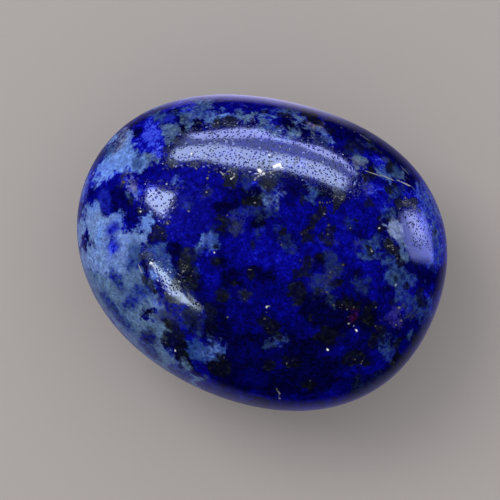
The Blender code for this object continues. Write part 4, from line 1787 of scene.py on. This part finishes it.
@dataclass(frozen=True)
class MirroredPanel:
    """A lit studio panel, placed so that its reflection in the stone lies where it should.

    Args:
        name: Its name.
        upper: One edge of the reflection, as columns and rows in the picture, in pixels.
        lower: The other edge, from the same end.
        colour: Its light, in linear red, green and blue.
        soft_ends: Share of its length over which it fades in and out.
        soft_edges: Share of its breadth over which it fades in and out.
        reach: How far it stands from the stone, in metres.
    """

    name: str
    upper: tuple[tuple[float, float], ...]
    lower: tuple[tuple[float, float], ...]
    colour: tuple[float, float, float]
    soft_ends: float = 0.06
    soft_edges: float = 0.12
    reach: float = 0.30

    @staticmethod
    def along(edge: Sequence[tuple[float, float]], count: int) -> np.ndarray:
        """Points at even distances along an edge.

        Args:
            edge: Its corners.
            count: How many points.

        Returns:
            The points, one per row.
        """
        corners = np.array(edge)
        lengths = np.linalg.norm(np.diff(corners, axis=0), axis=1)
        run = np.concatenate([[0.0], np.cumsum(lengths)])
        places = np.linspace(0.0, run[-1], count)
        return np.column_stack([np.interp(places, run, side) for side in corners.T])

    def build(
        self, stone: TumbledStone, camera: StudioCamera, count: int = 72, rows: int = 13
    ) -> bpy.types.Object:
        """Adds the panel to the scene.

        Each point of the reflection is found on the stone. The view that comes in there is
        turned back about the stone's normal, and the panel's point lies along it.

        Args:
            stone: The shape that reflects it.
            camera: The camera that sees the reflection.
            count: Points along it.
            rows: Points across it.

        Returns:
            The panel's object, which only reflections show.
        """
        share = np.linspace(0.0, 1.0, rows)[:, None, None]
        picture = (1.0 - share) * self.along(self.upper, count) + share * self.along(self.lower, count)
        picture = picture.reshape(-1, 2)
        directions = stone.under(camera, picture[:, 0], picture[:, 1])
        points = stone.surface(directions)
        normals = stone.normals(directions)
        view = unit(points - camera.place())
        mirrored = view - 2.0 * (view * normals).sum(axis=1, keepdims=True) * normals
        numbers = np.arange(rows * count).reshape(rows, count)
        corners = (numbers[:-1, :-1], numbers[:-1, 1:], numbers[1:, 1:], numbers[1:, :-1])
        squares = np.stack([corner.ravel() for corner in corners], axis=1)
        mesh = new_mesh(self.name, points + self.reach * mirrored, squares)
        along = np.minimum(np.linspace(0, 1, count), np.linspace(1, 0, count))
        over = np.minimum(np.linspace(0, 1, rows), np.linspace(1, 0, rows))
        fade = np.outer(smooth_step(0.0, self.soft_edges, over), smooth_step(0.0, self.soft_ends, along))
        hold(mesh, "fade", fade.ravel())
        bench = NodeBench(self.name)
        glow = bench.add("ShaderNodeEmission", {"Color": (*self.colour, 1.0)}).outputs[0]
        clear = bench.add("ShaderNodeBsdfTransparent", {}).outputs[0]
        light = bench.add("ShaderNodeMixShader", {0: bench.held("fade"), 1: clear, 2: glow})
        bench.add("ShaderNodeOutputMaterial", {"Surface": light.outputs[0]})
        mesh.materials.append(bench.material)
        panel = bpy.data.objects.new(self.name, mesh)
        bpy.context.scene.collection.objects.link(panel)
        only_reflected(panel)
        return panel


def only_reflected(piece: bpy.types.Object) -> None:
    """Lets a lit object be seen in reflections and nowhere else."""
    piece.visible_camera = False
    piece.visible_diffuse = False
    piece.visible_shadow = False
    piece.visible_transmission = False


SKY = (7.6, 9.3, 15.5)

PANELS = (
    MirroredPanel(
        "broad_strip",
        ((168, 152), (178, 147), (210, 144), (240, 146.5), (265, 150.5), (285, 154), (300, 157),
         (320, 162), (355, 180)),
        ((165, 160), (180, 162), (200, 160), (215, 163), (236, 168), (255, 169), (285, 171),
         (320, 181), (346, 193)),
        SKY,
    ),
    MirroredPanel(
        "thin_strip",
        ((183, 134), (205, 132), (236, 127), (262, 128), (270, 136), (300, 143), (320, 146),
         (340, 156), (358, 174)),
        ((183, 138), (205, 139), (236, 139), (262, 139), (272, 139), (300, 146), (320, 155),
         (340, 162), (356, 178)),
        (6.6, 7.6, 15.5),
    ),
    MirroredPanel(
        "strip_veil",
        ((172, 140), (205, 134), (262, 130), (300, 140), (330, 151), (362, 176)),
        ((166, 158), (205, 160), (255, 166), (300, 172), (335, 186), (352, 194)),
        (1.5, 1.9, 4.5),
        0.10,
        0.12,
        0.32,
    ),
    MirroredPanel(
        "kite_window",
        ((148, 186), (163, 190), (176, 193)),
        ((145, 200), (154, 211), (163, 219)),
        (10.0, 12.2, 19.0),
        0.05,
        0.05,
    ),
    MirroredPanel(
        "lance_window",
        ((149, 256), (158, 266), (166, 271), (170, 277), (175, 285), (180, 290), (190, 299), (201, 309)),
        ((148, 257), (153, 268), (160, 277), (164, 285), (166, 290), (173, 298), (187, 304), (199, 310)),
        (10.0, 12.4, 15.0),
        0.03,
        0.07,
    ),
    MirroredPanel(
        "right_veil",
        ((397, 209), (399, 222), (402, 236), (406, 250), (412, 264)),
        ((423, 208), (428, 222), (432, 236), (434, 250), (435, 267)),
        (2.0, 2.4, 6.4),
        0.20,
        0.12,
    ),
    MirroredPanel(
        "right_core",
        ((401, 206), (404, 219), (409, 232), (416, 248)),
        ((416, 205), (421, 218), (425, 231), (430, 246)),
        (4.7, 5.4, 11.2),
        0.36,
        0.34,
        0.28,
    ),
)


@dataclass(frozen=True)
class Studio:
    """The floor, the soft light and the panels.

    Args:
        floor_colour: The floor's colour.
        room_light: The light that comes evenly from all round.
        key_power: Power of the large soft lamp, in watts.
        key_size: Width of that lamp, in metres.
        key_way: The way to the lamp, along the picture's right, its top and back to the camera.
        key_reach: How far off it stands, in metres.
        rim_light: What the stone's rim mirrors from the floor just round it.
        rim_outer: Radius of that ring of floor, in metres.
    """

    floor_colour: tuple[float, float, float] = (0.375, 0.342, 0.318)
    room_light: tuple[float, float, float] = (0.84, 0.85, 0.90)
    key_power: float = 0.75
    key_size: float = 0.25
    key_way: tuple[float, float, float] = (-0.50, 0.45, 0.75)
    key_reach: float = 0.45
    rim_light: tuple[float, float, float] = (0.42, 0.40, 0.70)
    rim_outer: float = 0.034

    def build(self, stone: TumbledStone, camera: StudioCamera) -> None:
        """Adds all of it to the scene.

        Args:
            stone: The shape that the panels mirror in.
            camera: The camera.
        """
        bpy.context.scene.view_settings.view_transform = "Standard"
        self.floor()
        self.room()
        self.key_lamp(camera)
        self.rim_ring(camera)
        for panel in PANELS:
            panel.build(stone, camera)

    def floor(self) -> None:
        """A wide plain floor at the stone's rest, which its polish doesn't mirror."""
        half = 1.5
        corners = np.array([(-half, -half, 0.0), (half, -half, 0.0), (half, half, 0.0), (-half, half, 0.0)])
        mesh = new_mesh("floor", corners, np.array([[0, 1, 2, 3]]))
        bench = NodeBench("pale_floor")
        paint = {"Base Color": (*self.floor_colour, 1.0), "Roughness": 0.9, "Specular IOR Level": 0.1}
        shader = bench.add("ShaderNodeBsdfPrincipled", paint)
        bench.add("ShaderNodeOutputMaterial", {"Surface": shader.outputs[0]})
        mesh.materials.append(bench.material)
        floor = bpy.data.objects.new("floor", mesh)
        bpy.context.scene.collection.objects.link(floor)
        floor.visible_glossy = False

    def room(self) -> None:
        """Even light from all round, which the polish doesn't mirror."""
        world = bpy.data.worlds.new("room")
        world.use_nodes = True
        world.node_tree.nodes["Background"].inputs["Color"].default_value = (*self.room_light, 1.0)
        world.cycles_visibility.glossy = False
        bpy.context.scene.world = world

    def key_lamp(self, camera: StudioCamera) -> None:
        """A large soft lamp from the upper left, which the polish doesn't mirror."""
        data = bpy.data.lights.new("key_lamp", "AREA")
        data.energy = self.key_power
        data.size = self.key_size
        way = unit(np.array(self.key_way) @ camera.axes())
        first, second = across(way[None])
        stand = np.eye(4)
        stand[:3, :3] = np.stack([first[0], second[0], way], axis=1)
        stand[:3, 3] = way * self.key_reach
        lamp = bpy.data.objects.new("key_lamp", data)
        lamp.matrix_world = Matrix(stand.tolist())
        lamp.visible_glossy = False
        lamp.visible_camera = False
        bpy.context.scene.collection.objects.link(lamp)

    def rim_ring(self, camera: StudioCamera) -> None:
        """The floor close round the stone, as the stone's rim mirrors it.

        A flat ring of light: its radius runs from near the stone's foot to the outer one. It
        fades in from the foot's shade and out again, and is brightest towards the picture's top.

        Args:
            camera: The camera.
        """
        turns = np.linspace(0.0, 2 * math.pi, 97)[:-1]
        radii = np.linspace(0.004, self.rim_outer, 25)
        ring = radii[:, None, None] * np.stack([np.cos(turns), np.sin(turns), 0.0 * turns], axis=1)
        ring[..., 2] = 0.0002
        numbers = np.arange(ring.shape[0] * ring.shape[1]).reshape(ring.shape[:2])
        onward = np.roll(numbers, -1, axis=1)
        squares = np.stack(
            [numbers[:-1].ravel(), numbers[1:].ravel(), onward[1:].ravel(), onward[:-1].ravel()], axis=1
        )
        mesh = new_mesh("rim_ring", ring.reshape(-1, 3), squares)
        fade = smooth_step(0.006, 0.016, radii) * smooth_step(self.rim_outer, 0.5 * self.rim_outer, radii)
        upward = camera.axes()[1]
        lean = np.cos(turns) * upward[0] + np.sin(turns) * upward[1]
        hold(mesh, "fade", np.outer(fade, 0.36 + 1.45 * smooth_step(0.80, 1.0, lean)).ravel())
        bench = NodeBench("rim_ring")
        glow = {"Color": (*self.rim_light, 1.0), "Strength": bench.held("fade")}
        light = bench.add("ShaderNodeEmission", glow)
        bench.add("ShaderNodeOutputMaterial", {"Surface": light.outputs[0]})
        mesh.materials.append(bench.material)
        ring_object = bpy.data.objects.new("rim_ring", mesh)
        bpy.context.scene.collection.objects.link(ring_object)
        only_reflected(ring_object)


def main() -> None:
    """Builds the camera, the stone and the studio, in that order."""
    logging.basicConfig(level=logging.INFO, format="%(message)s")
    camera = StudioCamera()
    camera.build()
    piece = StonePiece()
    stone = piece.build(camera)
    log.info("%s: %d faces", stone.name, len(stone.data.polygons))
    Studio().build(piece.stone, camera)
    log.info("studio: floor, lamp and %d mirrored panels", len(PANELS))


if __name__ == "__main__":
    main()
